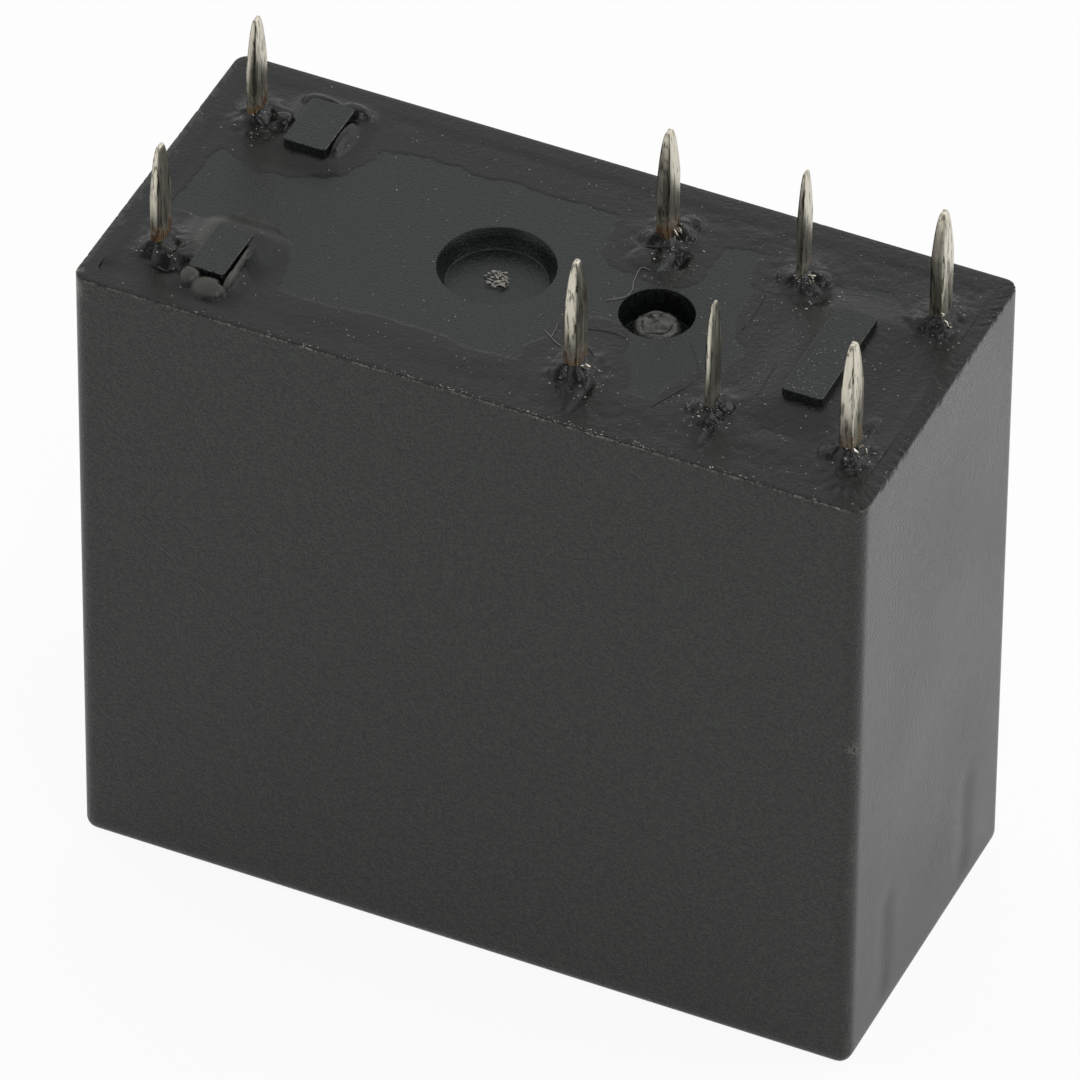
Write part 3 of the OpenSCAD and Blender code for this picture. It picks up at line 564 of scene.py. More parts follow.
# Its dry skin towards the terminal, partly painted light: share, and the limits between which it fades
HEAP_SKIN_AND_PAINTED_LIGHT = 0.6
SKIN_AND_LIGHT_REACH = (0.9, 0.2)
SKIN_AND_LIGHT_X = (-10.7, -11.0)
SKIN_AND_LIGHT_Y = (-4.6, -4.0)
# Crack between the front coil-end pad and the resin: depth, half width and ends
CRACK = 0.3
CRACK_HALF = 0.06
CRACK_Y = (-5.2, -3.0)
# A dome ends, and a pit fades out, where the squared distance from its centre in radii reaches these
DOME_END = 1.6
PIT_END = 6
# A dome stands this many times its given height
DOME_RISE = 1.2
# Lumps of resin: place, radii along and across, height; pits have a height below zero
LUMPS = [
    (-12.65, -4.35, 0.40, 0.30, 0.16), (-12.05, -4.45, 0.34, 0.28, 0.26),
    (-11.50, -4.40, 0.36, 0.26, 0.22), (-11.35, -3.90, 0.20, 0.25, 0.16),
    (-12.95, -3.95, 0.25, 0.30, 0.14), (-11.80, -4.85, 0.30, 0.14, -0.16),
    (-12.15, 3.45, 0.32, 0.28, 0.18), (-11.55, 3.65, 0.36, 0.34, 0.34), (-12.95, 3.85, 0.28, 0.22, 0.12),
    (-10.95, 2.30, 0.32, 0.45, -0.14), (-11.75, 4.20, 0.30, 0.25, 0.12),
    (-9.20, 3.60, 0.22, 0.80, 0.24), (-9.40, 5.15, 0.50, 0.28, 0.28), (-10.70, 5.15, 0.60, 0.24, 0.26),
    (2.35, 3.50, 0.36, 0.34, 0.20), (3.40, 4.10, 0.30, 0.30, 0.20), (3.25, 4.75, 0.40, 0.34, 0.18),
    (3.62, 3.00, 0.26, 0.26, -0.30), (3.66, 2.55, 0.22, 0.30, -0.30), (3.60, 2.12, 0.26, 0.22, -0.26),
    (2.70, 2.40, 0.60, 0.45, 0.10),
    (7.35, 3.50, 0.34, 0.30, 0.20), (8.45, 3.90, 0.30, 0.30, 0.20), (8.20, 3.25, 0.36, 0.28, 0.18),
    (8.75, 2.85, 0.32, 0.34, -0.14), (12.45, 3.10, 0.34, 0.30, 0.18), (12.95, 3.00, 0.40, 0.26, 0.16),
    (12.80, 4.65, 0.34, 0.34, 0.16), (12.00, 3.40, 0.26, 0.30, 0.12),
    (2.50, -4.35, 0.34, 0.30, 0.20), (3.10, -4.30, 0.32, 0.26, 0.20), (2.70, -3.00, 0.26, 0.26, 0.16),
    (3.60, -5.10, 0.16, 0.90, -0.12), (7.30, -4.00, 0.30, 0.28, 0.20), (8.20, -3.60, 0.28, 0.28, 0.20),
    (7.85, -4.40, 0.36, 0.26, 0.18), (8.15, -5.20, 0.14, 0.80, -0.14),
    (12.90, -2.30, 0.26, 0.34, 0.12), (12.25, -4.20, 0.36, 0.30, 0.18), (12.95, -4.45, 0.34, 0.26, 0.20),
]
# Smooth lobes against the coil-end pad at the front, under a dry skin that is partly painted light
LOBES = [
    (-10.78, -5.08, 0.30, 0.33, 0.25), (-9.98, -5.36, 0.50, 0.34, 0.23), (-9.44, -4.72, 0.15, 0.46, 0.25),
    (-9.48, -4.00, 0.11, 0.66, 0.22),
]
# Thin films that ran out over the base's face: centre and radii
FILMS = [
    (7.6, 2.2, 0.9, 1.9), (2.9, 2.4, 1.3, 0.9), (8.3, -2.2, 0.8, 1.5), (2.7, -2.0, 1.0, 0.7),
    (-11.3, 2.2, 0.9, 0.8), (-11.0, -2.6, 0.8, 0.6), (12.6, 0.2, 0.7, 3.2),
    (-10.1, -3.9, 1.9, 2.5), (-10.1, 3.8, 1.8, 2.2),
]
# Resin laps over the front end of the coil-end pad from here, and stays below the pads' tops elsewhere
LAP_Y = -4.75
LAP_X = -11.2
LAPPED_Z = PAD_Z + 0.02
UNLAPPED_Z = PAD_Z - 0.04


def outside_rectangle(x, y, centre, half, corner=0.0):
    """Distance outside a rectangle, negative inside it."""
    dx = abs(x - centre.x) - half.x + corner
    dy = abs(y - centre.y) - half.y + corner
    return math.hypot(max(dx, 0), max(dy, 0)) + min(max(dx, dy), 0) - corner


def outside_face(x, y):
    """Distance outside the base's bare face, negative on it: a round well at each terminal is outside."""
    wells = max(WELL_R - math.hypot(x - c.x, y - c.y) for c, t, w in SECTIONS.values())
    return max(outside_rectangle(x, y, Vector((0, 0)), FACE_HALF, FACE_R), wells)


def cover(x, y, beyond):
    """How far a point lies inside the resin's ragged edge, negative where the face is bare."""
    films = max(
        min(rx, ry) * (1 - math.hypot((x - fx) / rx, (y - fy) / ry)) for fx, fy, rx, ry in FILMS
    )
    ragged = 0.3 * rough((x, y, 0), 1.7, 1.0) + 0.1 * rough((x, y, 0), 0.4, 6.0)
    heaped = 1.4 - outside_rectangle(x, y, END_PAD, END_PAD_HALF)
    return max(beyond, films, heaped) + 0.3 + ragged


def outside_pads(x, y):
    """Distance outside the nearest stand-off pad, negative on it."""
    coil_end = min(outside_rectangle(x, y, centre, half) for centre, half in COIL_PADS)
    return min(coil_end, outside_rectangle(x, y, END_PAD, END_PAD_HALF))


def in_hole(x, y):
    return math.hypot(x - RECESS_X, y) < RECESS_R or math.hypot(x - PLUG_X, y) < VENT_R


def coil_heap(x, y):
    """Rise of the resin behind the front coil-end pad, and its share of dry skin, partly painted light."""
    centre, half = COIL_PADS[0]
    side = outside_rectangle(x, y, centre, half)
    inner = smooth_step(-0.1, 0.1, x - centre.x - half.x) * smooth_step(*HEAP_INNER_Y, y)
    share = (1 - inner) * smooth_step(*HEAP_FRONT_Y, y)
    # Share of dry skin beside the pad, painted paler, partly as painted light on the slope facing away
    dry_skin_and_painted_light = HEAP_SKIN_AND_PAINTED_LIGHT * smooth_step(*SKIN_AND_LIGHT_REACH, side) * smooth_step(*SKIN_AND_LIGHT_X, x) * smooth_step(*SKIN_AND_LIGHT_Y, y)
    return COIL_HEAP * share * smooth_step(*HEAP_REACH, side), dry_skin_and_painted_light


def pad_heaps(x, y):
    """Rise of the resin heaped round the pads, and its share of dry skin, partly painted light."""
    heap, dry_skin_and_painted_light = coil_heap(x, y)
    coil_side = min(outside_rectangle(x, y, centre, half) for centre, half in COIL_PADS)
    end_side = outside_rectangle(x, y, END_PAD, END_PAD_HALF)
    heap = max(heap, PAD_HEAP * smooth_step(1.0, 0, coil_side))
    return max(heap, PAD_HEAP * smooth_step(1.7, 0, end_side)), dry_skin_and_painted_light


def poured_level(x, y):
    """Height of the poured sheet before heaps, creep and lumps."""
    at = (x, y, 0)
    wall = min(CAVITY.x - abs(x), CAVITY.y - abs(y))
    to_corner = math.hypot(x - TORN_CORNER[0], y - TORN_CORNER[1])
    torn = smooth_step(1.3, 0.2, CAVITY.x - x) + smooth_step(2.2, 0.6, to_corner)
    level = RESIN_Z + SWELL * rough(at, 2.2, 3.0)
    level += (RIPPLE + MORE_RIPPLE * smooth_step(-2, 6, x)) * rough(at, 0.45, 9.0)
    level += TORN * torn * rough(at, 0.3, 12.0)
    level -= FRONT_FALL * smooth_step(*FRONT_Y, y)
    return level + (WETTED_Z - level) * smooth_step(0.5, 0, wall) * smooth_step(-5.6, -5.2, y)


def lump_spread(x, y, lump):
    """Squared distance from a lump's centre, in its radii."""
    return ((x - lump[0]) / lump[2]) ** 2 + ((y - lump[1]) / lump[3]) ** 2


def dome(spread, rise):
    return DOME_RISE * rise * math.sqrt(1 - spread / DOME_END)


def resin_surface(x, y):
    """Height of the resin, how wet it looks, below zero under a dry skin whose paler colour is partly
    painted light, and how far inside its edge.
    """
    at = (x, y, 0)
    beyond = outside_face(x, y)
    inside = cover(x, y, beyond)
    heap, skin = pad_heaps(x, y)
    level = poured_level(x, y) + heap
    film = FACE_Z + heap + FILM * smooth_step(0, 0.14, inside)
    height = film + (level - film) * smooth_step(0, 0.5, beyond)
    wet = 0.0
    for centre, thick, wide in SECTIONS.values():
        away = outside_rectangle(x, y, centre, Vector((thick / 2, wide / 2)))
        if away < 2:
            uneven = 1 + 0.5 * rough(at, 0.6, 15.0)
            near = smooth_step(1.1 + 0.4 * rough(at, 1.0, 17.0), 0.2, away)
            height += PIN_CREEP * uneven * math.exp(-max(away, 0) / PIN_CREEP_REACH)
            height += 0.06 * near * rough(at, 0.3, 31.0)
            wet = max(wet, near)
    lumped = 0.0
    for lump in LUMPS:
        spread = lump_spread(x, y, lump)
        rise = lump[4]
        if rise < 0 and spread < PIT_END:
            height += rise * math.exp(-spread)
        elif spread < DOME_END:
            lumped = max(lumped, dome(spread, rise))
            wet = max(wet, 0.95)
    for lobe in LOBES:
        spread = lump_spread(x, y, lobe)
        if spread < DOME_END:
            lumped = max(lumped, dome(spread, lobe[4]))
            # The lobes' dry skin is painted paler, partly as painted light
            skin = max(skin, smooth_step(DOME_END, 0.8, spread))
    height += lumped * smooth_step(-0.3, 0.1, inside)
    front_pad, front_half = COIL_PADS[0]
    crack = abs(x - front_pad.x - front_half.x)
    if crack < 0.2 and CRACK_Y[0] < y < CRACK_Y[1]:
        fade = smooth_step(CRACK_Y[1], CRACK_Y[1] - 0.4, y)
        height -= CRACK * math.exp(-(crack / CRACK_HALF) ** 2) * fade
    if inside < 0:
        height = min(height, FACE_Z - 0.03 - 0.5 * min(-inside, 0.5))
    lapped = y < LAP_Y and LAP_X < x < -LAP_X
    wet *= 0.6 + 0.4 * rough(at, 0.4, 21.0)
    return min(height, LAPPED_Z if lapped else UNLAPPED_Z), wet * (1 - skin) - skin, inside


def make_resin(resin):
    bm = bmesh.new()
    wet = bm.verts.layers.float.new("wet")
    counts = [round(2 * half / RESIN_STEP) for half in CAVITY]
    made = bmesh.ops.create_grid(bm, x_segments=counts[0], y_segments=counts[1], size=1)["verts"]
    bmesh.ops.scale(bm, vec=(CAVITY.x, CAVITY.y, 1), verts=made)
    fine = [centre for centre, thick, wide in SECTIONS.values()] + [Vector(lobe[:2]) for lobe in LOBES]
    lumpy = [e for e in bm.edges if min((e.verts[0].co.xy - place).length for place in fine) < FINE_REACH]
    bmesh.ops.subdivide_edges(bm, edges=lumpy, cuts=1, use_grid_fill=True)
    bare = set()
    for v in bm.verts:
        over = Vector((abs(v.co.x), abs(v.co.y))) - CAVITY + Vector((CAVITY_R, CAVITY_R))
        if min(over) > 0 and over.length > CAVITY_R:
            pull = over * (CAVITY_R / over.length - 1)
            v.co.x += math.copysign(pull.x, v.co.x)
            v.co.y += math.copysign(pull.y, v.co.y)
        height, v[wet], inside = resin_surface(v.co.x, v.co.y)
        if inside < -0.4 or outside_pads(v.co.x, v.co.y) < -0.25 or in_hole(v.co.x, v.co.y):
            bare.add(v)
        v.co.z = height
    hidden = [f for f in bm.faces if all(v in bare for v in f.verts)]
    bmesh.ops.delete(bm, geom=hidden, context="FACES")
    drawn = bmesh.ops.extrude_face_region(bm, geom=list(bm.faces))["geom"]
    for v in drawn:
        if isinstance(v, bmesh.types.BMVert):
            v.co.z = CHANNEL_Z
    bmesh.ops.recalc_face_normals(bm, faces=bm.faces)
    return piece("sealing_resin", bm, [resin], ["sealant"], sharp=60)


# Vent plug: a turned drop with a raised ring and a sunken, uneven crown
PLUG_SEAT = FACE_Z - 1.2
PLUG_STEM = 0.47
# Outline of the drop from its seat to its crown: share of its radius and height above the seat
PLUG_OUTLINE = [
    (1, 0), (1, 0.3), (0.96, 0.55), (0.87, 0.7), (0.76, 0.76), (0.64, 0.74), (0.54, 0.66), (0.30, 0.64),
    (0, 0.68),
]


def make_plug():
    bm = bmesh.new()
    centre = (PLUG_LOW + PLUG_HIGH) / 2
    radius = (PLUG_HIGH.x - PLUG_LOW.x) / 2
    outline = [(0, PLUG_LOW.z), (PLUG_STEM, PLUG_LOW.z), (PLUG_STEM, PLUG_SEAT)]
    outline += [(share * radius, PLUG_SEAT + rise) for share, rise in PLUG_OUTLINE]
    verts = [bm.verts.new((centre.x + r, centre.y, z)) for r, z in outline]
    edges = [bm.edges.new(pair) for pair in zip(verts, verts[1:])]
    bmesh.ops.spin(
        bm, geom=verts + edges, cent=(centre.x, centre.y, 0), axis=(0, 0, 1),
        angle=2 * math.pi, steps=72, use_merge=True,
    )
    outward(bm)
    crown = [e for e in bm.edges if min(v.co.z for v in e.verts) > PLUG_SEAT + 0.05]
    bmesh.ops.subdivide_edges(bm, edges=crown, cuts=2, use_grid_fill=True, smooth=0.3)
    for v in bm.verts:
        if v.co.z > PLUG_SEAT + 0.1:
            lift = 0.05 * rough(v.co, 0.5, 2.0) + 0.03 * rough(v.co, 0.18, 4.0)
            v.co.z = min(v.co.z + lift, PLUG_HIGH.z)
    return piece("vent_plug_drop", bm, [cast_grey_resin()], ["vent_plug"], sharp=70)


# Terminals: the plate inside the case as packed, and a blade drawn up to a blunt coined point
TIP_L = 1.9
TIP_END = 0.24
TIP_STEPS = 14
BLADE_CORNER = 0.09
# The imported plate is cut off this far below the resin, and the drawn blade starts there
BLADE_ROOT = 0.4
# Unevenness of a blade's faces and edges from this height above the rim
UNEVEN_FROM = 0.6
UNEVEN_FACE = 0.012
UNEVEN_EDGE = 0.018
# How much of each foot is bare of tin
BARE = {
    "coil_terminal_front": 1.0, "coil_terminal_back": 1.0,
    "nc_terminal_front": 0.9, "nc_terminal_back": 1.0,
    "com_terminal_front": 0.2, "com_terminal_back": 0.3,
    "no_terminal_front": 0.8, "no_terminal_back": 0.1,
}


def nose_share(left):
    """Share of a blade's section where a share of its nose's length is left to the point."""
    return TIP_END + (1 - TIP_END) * math.sqrt(min(1.0, max(0.0, left)))


def draw_blade(bm, centre, thick, wide, low_z, high_z):
    """Rounded strip drawn up in steps, its nose narrowing along a parabola both ways."""
    made = bmesh.ops.create_grid(bm, x_segments=1, y_segments=1, size=0.5)["verts"]
    bmesh.ops.scale(bm, vec=(thick, wide, 1), verts=made)
    bmesh.ops.translate(bm, vec=(centre.x, centre.y, low_z), verts=made)
    rounded = bmesh.ops.bevel(
        bm, geom=made, offset=BLADE_CORNER, segments=3, profile=0.5, affect="VERTICES", material=-1,
    )
    top = rounded["verts"][0].link_faces[0]
    share = 1.0
    levels = [(high_z - TIP_L, 1.0)]
    for i in range(1, TIP_STEPS + 1):
        left = (1 - i / TIP_STEPS) ** 1.6
        levels.append((high_z - left * TIP_L, nose_share(left)))
    foot = top
    for z, new_share in levels:
        last = top
        drawn = bmesh.ops.extrude_face_region(bm, geom=[last])["geom"]
        top = next(g for g in drawn if isinstance(g, bmesh.types.BMFace))
        if last is not foot:
            bmesh.ops.delete(bm, geom=[last], context="FACES_ONLY")
        bmesh.ops.scale(
            bm, vec=(new_share / share, new_share / share, 1), verts=top.verts,
            space=Matrix.Translation((-centre.x, -centre.y, 0)),
        )
        for v in top.verts:
            v.co.z = z
        share = new_share


def make_terminal(node, material):
    centre, thick, wide = SECTIONS[node]
    cut_z = CHANNEL_Z - BLADE_ROOT
    high_z = box(node)[1].z
    bm = copy_of(node)
    bare = bm.verts.layers.float.new("bare")
    shaded_corner = bm.verts.layers.float.new("shaded_corner")
    bmesh.ops.bisect_plane(
        bm, geom=bm.verts[:] + bm.edges[:] + bm.faces[:], plane_co=(0, 0, cut_z), plane_no=(0, 0, 1),
        clear_outer=True,
    )
    bmesh.ops.holes_fill(bm, edges=[e for e in bm.edges if e.is_boundary])
    plate = set(bm.verts)
    draw_blade(bm, centre, thick, wide, cut_z, high_z)
    bmesh.ops.recalc_face_normals(bm, faces=bm.faces)
    for v in bm.verts:
        if v not in plate:
            v[bare] = BARE[node]
        share = nose_share((high_z - v.co.z) / TIP_L)
        off_x = abs(v.co.x - centre.x) / share
        off_y = abs(v.co.y - centre.y) / share
        to_corner = thick / 2 - off_x + wide / 2 - off_y
        # Mask of painted shade along the blade's upright corners, from a millimetre below the rim upwards
        v[shaded_corner] = float(v.co.z > RIM_Z - 1 and to_corner < 0.8 * BLADE_CORNER)
        if v.co.z > RIM_Z + UNEVEN_FROM:
            low = Vector((v.co.x, v.co.y, 0.12 * v.co.z))
            v.co.x += UNEVEN_FACE * rough(low, 0.4, 3.0)
            v.co.y += UNEVEN_EDGE * rough(low, 0.5, 5.0)
    return piece(node + "_tinned", bm, [material], [node], sharp=45)


# Crumbs: torn bits of the moulding gate, of flash on the rim, of dust and of tin
def crumb(bm, rng, place, size, stretch, tilt=0.4):
    made = bmesh.ops.create_icosphere(bm, subdivisions=1, radius=size)["verts"]
    for v in made:
        v.co = Vector((v.co.x * stretch, v.co.y * 0.6, v.co.z * 0.5)) * rng.uniform(0.6, 1.2)
    turn = Matrix.Rotation(rng.uniform(-0.5, 0.5), 4, "Z")
    lean = Matrix.Rotation(rng.uniform(-tilt, tilt), 4, "Y")
    bmesh.ops.transform(bm, matrix=Matrix.Translation(place) @ (turn @ lean), verts=made)


# Torn gate: number of crumbs, their reach along and across, and how far it lies off the recess's centre
GATE_CRUMBS = 46
GATE_REACH = (0.46, 0.4)
GATE_Y = 0.1


def make_gate():
    rng = random.Random(SEED + 2)
    bm = bmesh.new()
    for i in range(GATE_CRUMBS):
        turn = rng.uniform(0, 2 * math.pi)
        reach = math.sqrt(rng.random())
        x = RECESS_X + GATE_REACH[0] * reach * math.cos(turn)
        y = GATE_Y + GATE_REACH[1] * reach * math.sin(turn)
        place = Vector((x, y, RECESS_FLOOR + 0.04 + rng.uniform(0, 0.09)))
        crumb(bm, rng, place, rng.uniform(0.03, 0.08), rng.uniform(1, 2.6), 0.8)
    # Polyester where it was torn off: chalky, with dark hollows between
    finish = plain_finish("torn_pbt", "#1b1a19", "#d5d0c4", 0.1, (0.3, 0.6), 0)
    return piece("gate_vestige", bm, [finish], sharp=25)


# Flash: tries along the front rim, whose crumbs come in clusters, and crumbs along the contact end
FRONT_TRIES = 480
END_CRUMBS = 120


def make_flash():
    rng = random.Random(SEED)
    bm = bmesh.new()
    for i in range(FRONT_TRIES):
        x = rng.triangular(-13.9, 14.2, 6)
        if rough((x, 0, 0), 0.9, 5.0) < rng.uniform(-0.6, 0.5):
            continue
        y = CASE_LOW.y + rng.triangular(0.05, 0.3, 0.06)
        crumb(bm, rng, Vector((x, y, RIM_Z - 0.01)), rng.uniform(0.01, 0.033), rng.uniform(1, 3))
    for i in range(END_CRUMBS):
        y = rng.uniform(-6.4, 6.2)
        x = CASE_HIGH.x - rng.uniform(0.06, 0.4)
        crumb(bm, rng, Vector((x, y, RIM_Z - 0.015)), rng.uniform(0.01, 0.028), 1)
    # Thin polyester torn white along the parting line
    finish = plain_finish("torn_flash", "#55524b", "#dcd6c8", 0.2, (0.3, 0.6), 0)
    return piece("rim_flash", bm, [finish], sharp=30)


# Dust: number of grains and the largest one's radius, all over, round each terminal and on the end pad
FACE_DUST = (460, 0.027)
FOOT_DUST = (34, 0.05)
PAD_DUST = (70, 0.024)
LEAST_DUST = 0.01


def dust_spots(rng):
    """Place and largest radius of each grain of dust."""
    count, size = FACE_DUST
    spots = [(rng.triangular(-13.4, 13.6, 10), rng.uniform(-5.9, 5.9), size) for i in range(count)]
    count, size = FOOT_DUST
    for centre, thick, wide in SECTIONS.values():
        for i in range(count):
            spots.append((centre.x + rng.gauss(0.35, 0.55), centre.y + rng.gauss(-0.4, 0.55), size))
    count, size = PAD_DUST
    for i in range(count):
        x = rng.triangular(-1, 1, -0.7)
        y = rng.triangular(-1, 1, -0.9)
        spots.append((END_PAD.x + END_PAD_HALF.x * x, END_PAD_HALF.y * y, size))
    return spots


def make_dust():
    rng = random.Random(SEED + 1)
    bm = bmesh.new()
    for x, y, size in dust_spots(rng):
        height, wet, inside = resin_surface(x, y)
        by_pad = outside_pads(x, y)
        if abs(by_pad) < 0.1 or in_hole(x, y) or abs(x) > CAVITY.x or abs(y) > CAVITY.y:
            continue
        level = height if inside > 0 else FACE_Z
        if by_pad < 0:
            level = PAD_Z
        place = Vector((x, y, level + 0.005))
        crumb(bm, rng, place, rng.uniform(LEAST_DUST, size), rng.uniform(0.8, 1.6))
    # Mineral dust: dry, grey to nearly white
    finish = plain_finish("pale_dust", "#6f6c66", "#dedad0", 0.2, (0.4, 0.7), 0)
    return piece("dust_grains", bm, [finish], sharp=30)


# Splashes of tin in the resin beside the terminals' feet, off each blade's centre
SPLASHES = {
    "nc_terminal_front": (0.42, -0.2), "nc_terminal_back": (0.4, 0.05),
    "no_terminal_front": (0.45, -0.1), "com_terminal_back": (0.4, -0.3),
    "no_terminal_back": (0.42, -0.45),
}
SPLASH_DROPS = 8


def make_splashes(material):
    rng = random.Random(SEED + 3)
    bm = bmesh.new()
    for node, (x, y) in SPLASHES.items():
        centre = SECTIONS[node][0]
        for i in range(SPLASH_DROPS):
            place = Vector((centre.x + x + rng.gauss(0, 0.07), centre.y + y + rng.gauss(0, 0.1), 0))
            place.z = resin_surface(place.x, place.y)[0] + rng.uniform(0, 0.28)
            crumb(bm, rng, place, rng.uniform(0.04, 0.09), rng.uniform(1.4, 2.8), 1.5)
    return piece("tin_splashes", bm, [material], sharp=30)


# Lint: three fine fibres that stuck to the face
FIBRES = {
    "lint_fibre_long": [
        (2.30, -0.10), (2.79, 0.24), (2.87, 0.47), (2.87, 0.80), (2.73, 1.06), (2.69, 1.36),
        (2.65, 1.67), (2.64, 1.95), (3.00, 1.89),
    ],
    "lint_fibre_short": [(1.05, -2.40), (1.40, -2.62), (1.60, -2.85), (1.90, -2.95)],
    "lint_fibre_bent": [(1.30, -1.90), (1.45, -2.30), (1.40, -2.70)],
}
FIBRE_R = 0.010
# Lint stands off the face by these in turn, and a strand is sunk into it
FIBRE_LIFTS = (0.02, 0.05)
STRAND_LIFTS = (-0.01, -0.01)
# Strands of resin that dried on the face
STRANDS = {
    "resin_strand_pad": [(8.89, -2.56), (8.90, -2.00), (8.84, -1.40), (8.84, -0.88)],
    "resin_strand_wedge": [(7.02, 0.44), (7.12, 1.00), (7.05, 1.70), (7.00, 2.39)],
    "resin_strand_plateau": [
        (5.9, -4.5), (6.15, -3.9), (6.55, -3.1), (6.8, -2.35), (6.3, -1.6), (5.7, -0.85),
    ],
    "resin_strand_arc": [(2.3, -1.75), (2.8, -1.55), (3.3, -1.50), (3.7, -1.65)],
}
STRAND_R = 0.035


def make_fibre(name, route, radius, lifts, material):
    curve = bpy.data.curves.new(name, "CURVE")
    curve.dimensions = "3D"
    curve.bevel_depth = radius
    curve.bevel_resolution = 2
    curve.use_fill_caps = True
    spline = curve.splines.new("NURBS")
    spline.points.add(len(route) - 1)
    spline.use_endpoint_u = True
    spline.order_u = 4
    for i, (x, y) in enumerate(route):
        height, wet, inside = resin_surface(x, y)
        spline.points[i].co = (x, y, max(height, FACE_Z) + lifts[i % 2], 1)
    carrier = bpy.data.objects.new(name, curve)
    bm = bmesh.new()
    bm.from_mesh(bpy.data.meshes.new_from_object(carrier))
    bpy.data.objects.remove(carrier)
    outward(bm)
    return piece(name, bm, [material], sharp=60)


# The dressed pieces
epoxy = cured_black_epoxy()
make_case(epoxy)
make_base()
make_resin(epoxy)
make_plug()
make_gate()
make_flash()
make_dust()
tin = hot_dipped_tin()
for node in TERMINALS:
    make_terminal(node, tin)
# Tin that splashed and froze: small bright beads, more glossy than the dipped blades
make_splashes(plain_finish("splashed_tin", "#8f8b7e", "#f4f1e7", 0.08, (0.15, 0.3), 1, bump_height=0.03))
# Cotton fluff: matt greyish threads
lint = plain_finish("cotton_lint", "#4c4a45", "#a8a499", 0.1, (0.6, 0.8), 0)
for name, route in FIBRES.items():
    make_fibre(name, route, FIBRE_R, FIBRE_LIFTS, lint)
for name, route in STRANDS.items():
    make_fibre(name, route, STRAND_R, STRAND_LIFTS, epoxy)

# Finishes of the pieces inside the case: dark and light tone, grain size, gloss, metal or not, stretch
INNER = {
    # Milky cream, faintly mottled
    "bobbin": ("moulded_glass_filled_nylon", "#c9c2ae", "#ded8c6", 0.5, (0.4, 0.6), 0),
    # Deep copper red with the fine rings of the wire
    "coil_winding": (
        "enamelled_copper_wire", "#6e2f12", "#b8612c", 0.12, (0.2, 0.35), 1, (0.05, 0.05, 1),
    ),
    # Glossy amber film, softly rippled
    "coil_tape": ("polyester_film_tape", "#c99b2e", "#e0b848", 1.5, (0.2, 0.35), 0, (1, 1, 0.3)),
    # Paler copper of the dipped wire ends
    "lead_wraps": ("tinned_copper_wire_end", "#a86a3f", "#d0a070", 0.15, (0.25, 0.4), 1, (0.1, 0.1, 1)),
    # Grey plate over turning rings
    "core": ("nickel_plated_turned_iron", "#9a9b9a", "#c4c5c4", 0.2, (0.2, 0.35), 1, (0.2, 0.2, 1)),
    # Grey plate with the sheet's rolling lines across the strap
    "yoke": ("nickel_plated_bent_iron", "#9c9d9d", "#c2c3c3", 0.3, (0.25, 0.4), 1, (1, 0.1, 1)),
    # The same plate, rolled the long way
    "armature": ("nickel_plated_stamped_iron", "#969797", "#bfc0c0", 0.3, (0.25, 0.42), 1, (0.1, 1, 1)),
    # Straw-grey strip with upright rolling lines
    "hinge_spring": ("rolled_spring_steel", "#8f8a7a", "#c0bba8", 0.15, (0.2, 0.35), 1, (1, 1, 0.05)),
    # Clean white, faintly waxy
    "card": ("moulded_acetal", "#dcdbd2", "#efeee6", 0.6, (0.3, 0.45), 0),
    # Pale silver with a dull pressed skin
    "contact": ("pressed_silver_alloy", "#bdbcb6", "#e6e5e0", 0.25, (0.25, 0.45), 1),
    # Orange strip with upright rolling lines
    "moving_spring": (
        "rolled_beryllium_copper", "#a0673a", "#cf9660", 0.15, (0.2, 0.35), 1, (1, 1, 0.05),
    ),
    # Yellow heads, hammered
    "spring_rivets": ("headed_brass", "#a98847", "#d2b477", 0.25, (0.25, 0.4), 1),
}
finishes = {key: plain_finish(*values) for key, values in INNER.items()}
for node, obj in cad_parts.items():
    key = next((k for k in INNER if node.startswith(k)), None)
    if key is None and "_contact_" in node:
        key = "contact"
    if key:
        for slot in obj.material_slots:
            slot.material = finishes[key]


# Camera at the photograph's angle
AZIMUTH = 24.27
ELEVATION = 40.90
ROLL = 0.51
TARGET = Vector((-0.3, 0.4, 13.0))
DISTANCE = 458
LENS = 447


def ahead():
    """Direction in which the camera looks."""
    turn = math.radians(AZIMUTH)
    rise = math.radians(ELEVATION)
    return Vector((-math.sin(turn) * math.cos(rise), math.cos(turn) * math.cos(rise), -math.sin(rise)))


def make_camera():
    data = bpy.data.cameras.new("camera")
    data.sensor_width = 36
    data.lens = LENS
    data.clip_start = 0.02
    camera = bpy.data.objects.new("camera", data)
    camera.location = (TARGET - ahead() * DISTANCE) * MM
    camera.rotation_mode = "QUATERNION"
    roll = Quaternion((0, 0, 1), math.radians(ROLL))
    camera.rotation_quaternion = ahead().to_track_quat("-Z", "Y") @ roll
    bpy.context.scene.collection.objects.link(camera)
    bpy.context.scene.camera = camera


# Studio: white paper floor that only shows from above, white surroundings and two soft lamps
FLOOR_HALF = 900
FLOOR_DROP = 0.02
CAMERA_WHITE = 0.92
# Share of plain white that reflections see in the paper, near the part and well to its right
GLOSSY_WHITE = 0.45
RIGHT_WHITE = 1.0
# The surroundings are white, and dimmer on the camera's side between these shares of facing it
DIM_SIDE = 0.25
DIM_FROM = 0.45
DIM_TO = 0.85


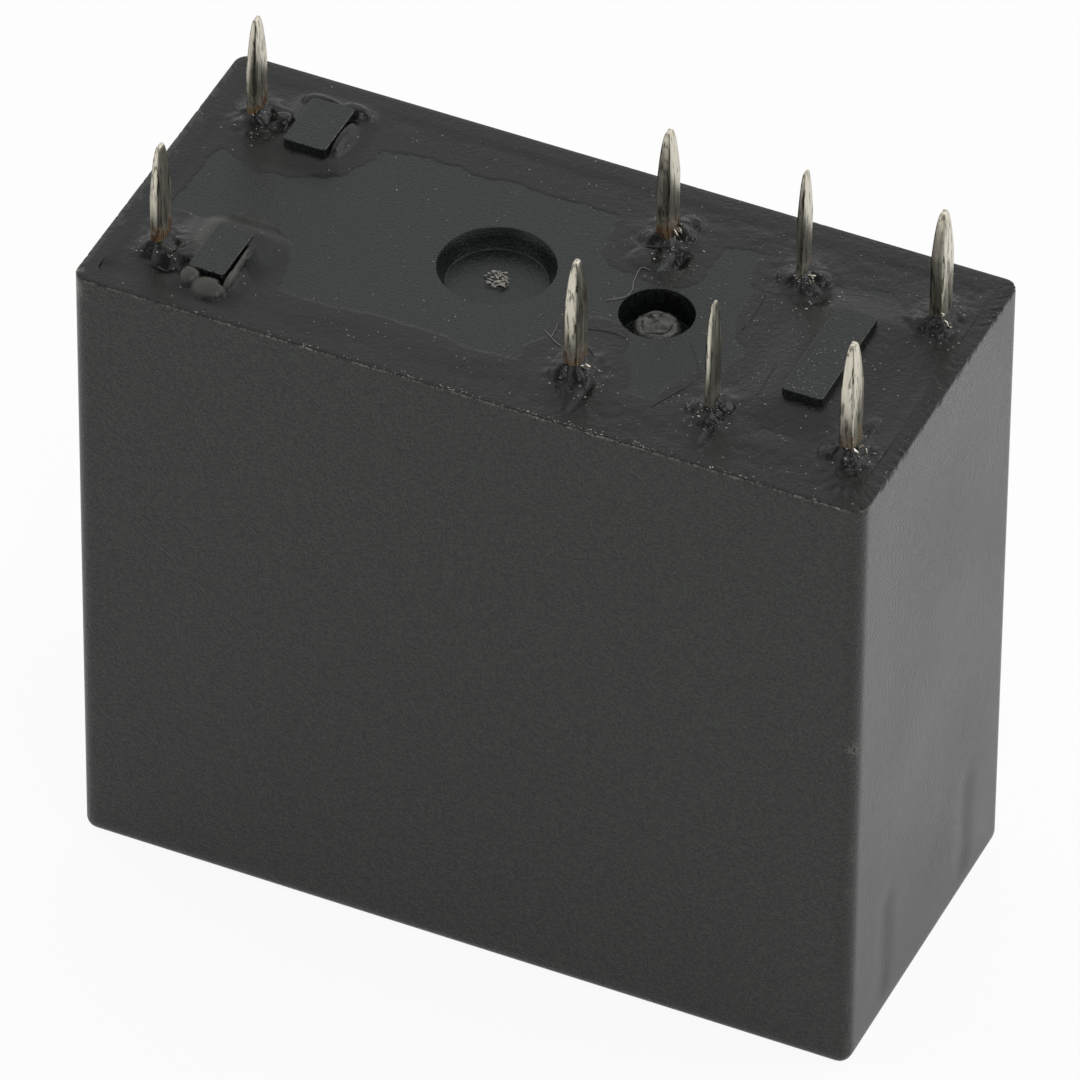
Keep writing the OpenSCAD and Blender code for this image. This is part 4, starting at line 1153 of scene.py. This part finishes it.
def make_floor():
    bm = bmesh.new()
    bmesh.ops.create_grid(bm, x_segments=1, y_segments=1, size=FLOOR_HALF)
    bmesh.ops.translate(bm, vec=(0, 0, -FLOOR_DROP), verts=bm.verts)
    bmesh.ops.scale(bm, vec=(MM, MM, MM), verts=bm.verts)
    mesh = bpy.data.meshes.new("studio_floor")
    bm.to_mesh(mesh)
    bm.free()
    floor = bpy.data.objects.new("studio_floor", mesh)
    bpy.context.scene.collection.objects.link(floor)
    # Matt white paper: plain white to the camera, fainter in reflections near the part, grey in its shadow
    material, tree, place = new_material("white_paper")
    path = add(tree, "ShaderNodeLightPath")
    across = add(tree, "ShaderNodeSeparateXYZ", {"Vector": place})
    white = add(tree, "ShaderNodeMapRange", {
        "Value": across.outputs["X"], "From Min": CASE_HIGH.x * MM, "From Max": 2 * CASE_HIGH.x * MM,
        "To Min": GLOSSY_WHITE, "To Max": RIGHT_WHITE,
    })
    seen = add(tree, "ShaderNodeMath", {
        0: path.outputs["Is Camera Ray"], 1: CAMERA_WHITE,
    }, operation="MULTIPLY")
    mirrored = add(tree, "ShaderNodeMath", {
        0: path.outputs["Is Glossy Ray"], 1: white.outputs[0], 2: seen.outputs[0],
    }, operation="MULTIPLY_ADD")
    through = add(tree, "ShaderNodeMath", {
        0: path.outputs["Is Transmission Ray"], 1: white.outputs[0], 2: mirrored.outputs[0],
    }, operation="MULTIPLY_ADD")
    paper = add(tree, "ShaderNodeBsdfDiffuse", {"Color": linear("#f6f6f6")})
    glow = add(tree, "ShaderNodeEmission", {"Color": linear("#ffffff"), "Strength": 1})
    upper = add(tree, "ShaderNodeMixShader", {
        0: through.outputs[0], 1: paper.outputs[0], 2: glow.outputs[0],
    })
    under = add(tree, "ShaderNodeNewGeometry").outputs["Backfacing"]
    clear = add(tree, "ShaderNodeBsdfTransparent")
    mix = add(tree, "ShaderNodeMixShader", {0: under, 1: upper.outputs[0], 2: clear.outputs[0]})
    add(tree, "ShaderNodeOutputMaterial", {"Surface": mix.outputs[0]})
    mesh.materials.append(material)


def make_sky():
    world = bpy.data.worlds.new("white_surroundings")
    world.use_nodes = True
    tree = world.node_tree
    tree.nodes.clear()
    aim = add(tree, "ShaderNodeTexCoord").outputs["Generated"]
    facing = add(tree, "ShaderNodeVectorMath", {0: aim, 1: -ahead()}, operation="DOT_PRODUCT")
    shade = add(tree, "ShaderNodeMapRange", {
        "Value": facing.outputs["Value"], "From Min": DIM_FROM, "From Max": DIM_TO,
        "To Min": 1, "To Max": DIM_SIDE,
    }, interpolation_type="SMOOTHSTEP")
    sky = add(tree, "ShaderNodeBackground", {"Color": linear("#ffffff"), "Strength": shade.outputs[0]})
    add(tree, "ShaderNodeOutputWorld", {"Surface": sky.outputs[0]})
    bpy.context.scene.world = world


def make_lamp(name, place, size, power):
    data = bpy.data.lights.new(name, "AREA")
    data.shape = "DISK"
    data.size = size * MM
    data.energy = power
    lamp = bpy.data.objects.new(name, data)
    lamp.location = Vector(place) * MM
    lamp.rotation_mode = "QUATERNION"
    lamp.rotation_quaternion = (TARGET - Vector(place)).to_track_quat("-Z", "Y")
    bpy.context.scene.collection.objects.link(lamp)


make_camera()
make_floor()
make_sky()
make_lamp("key_lamp", (220, -280, 420), 260, 0.5)
make_lamp("fill_lamp", (320, 200, 320), 300, 0.3)
bpy.context.scene.view_settings.view_transform = "Standard"
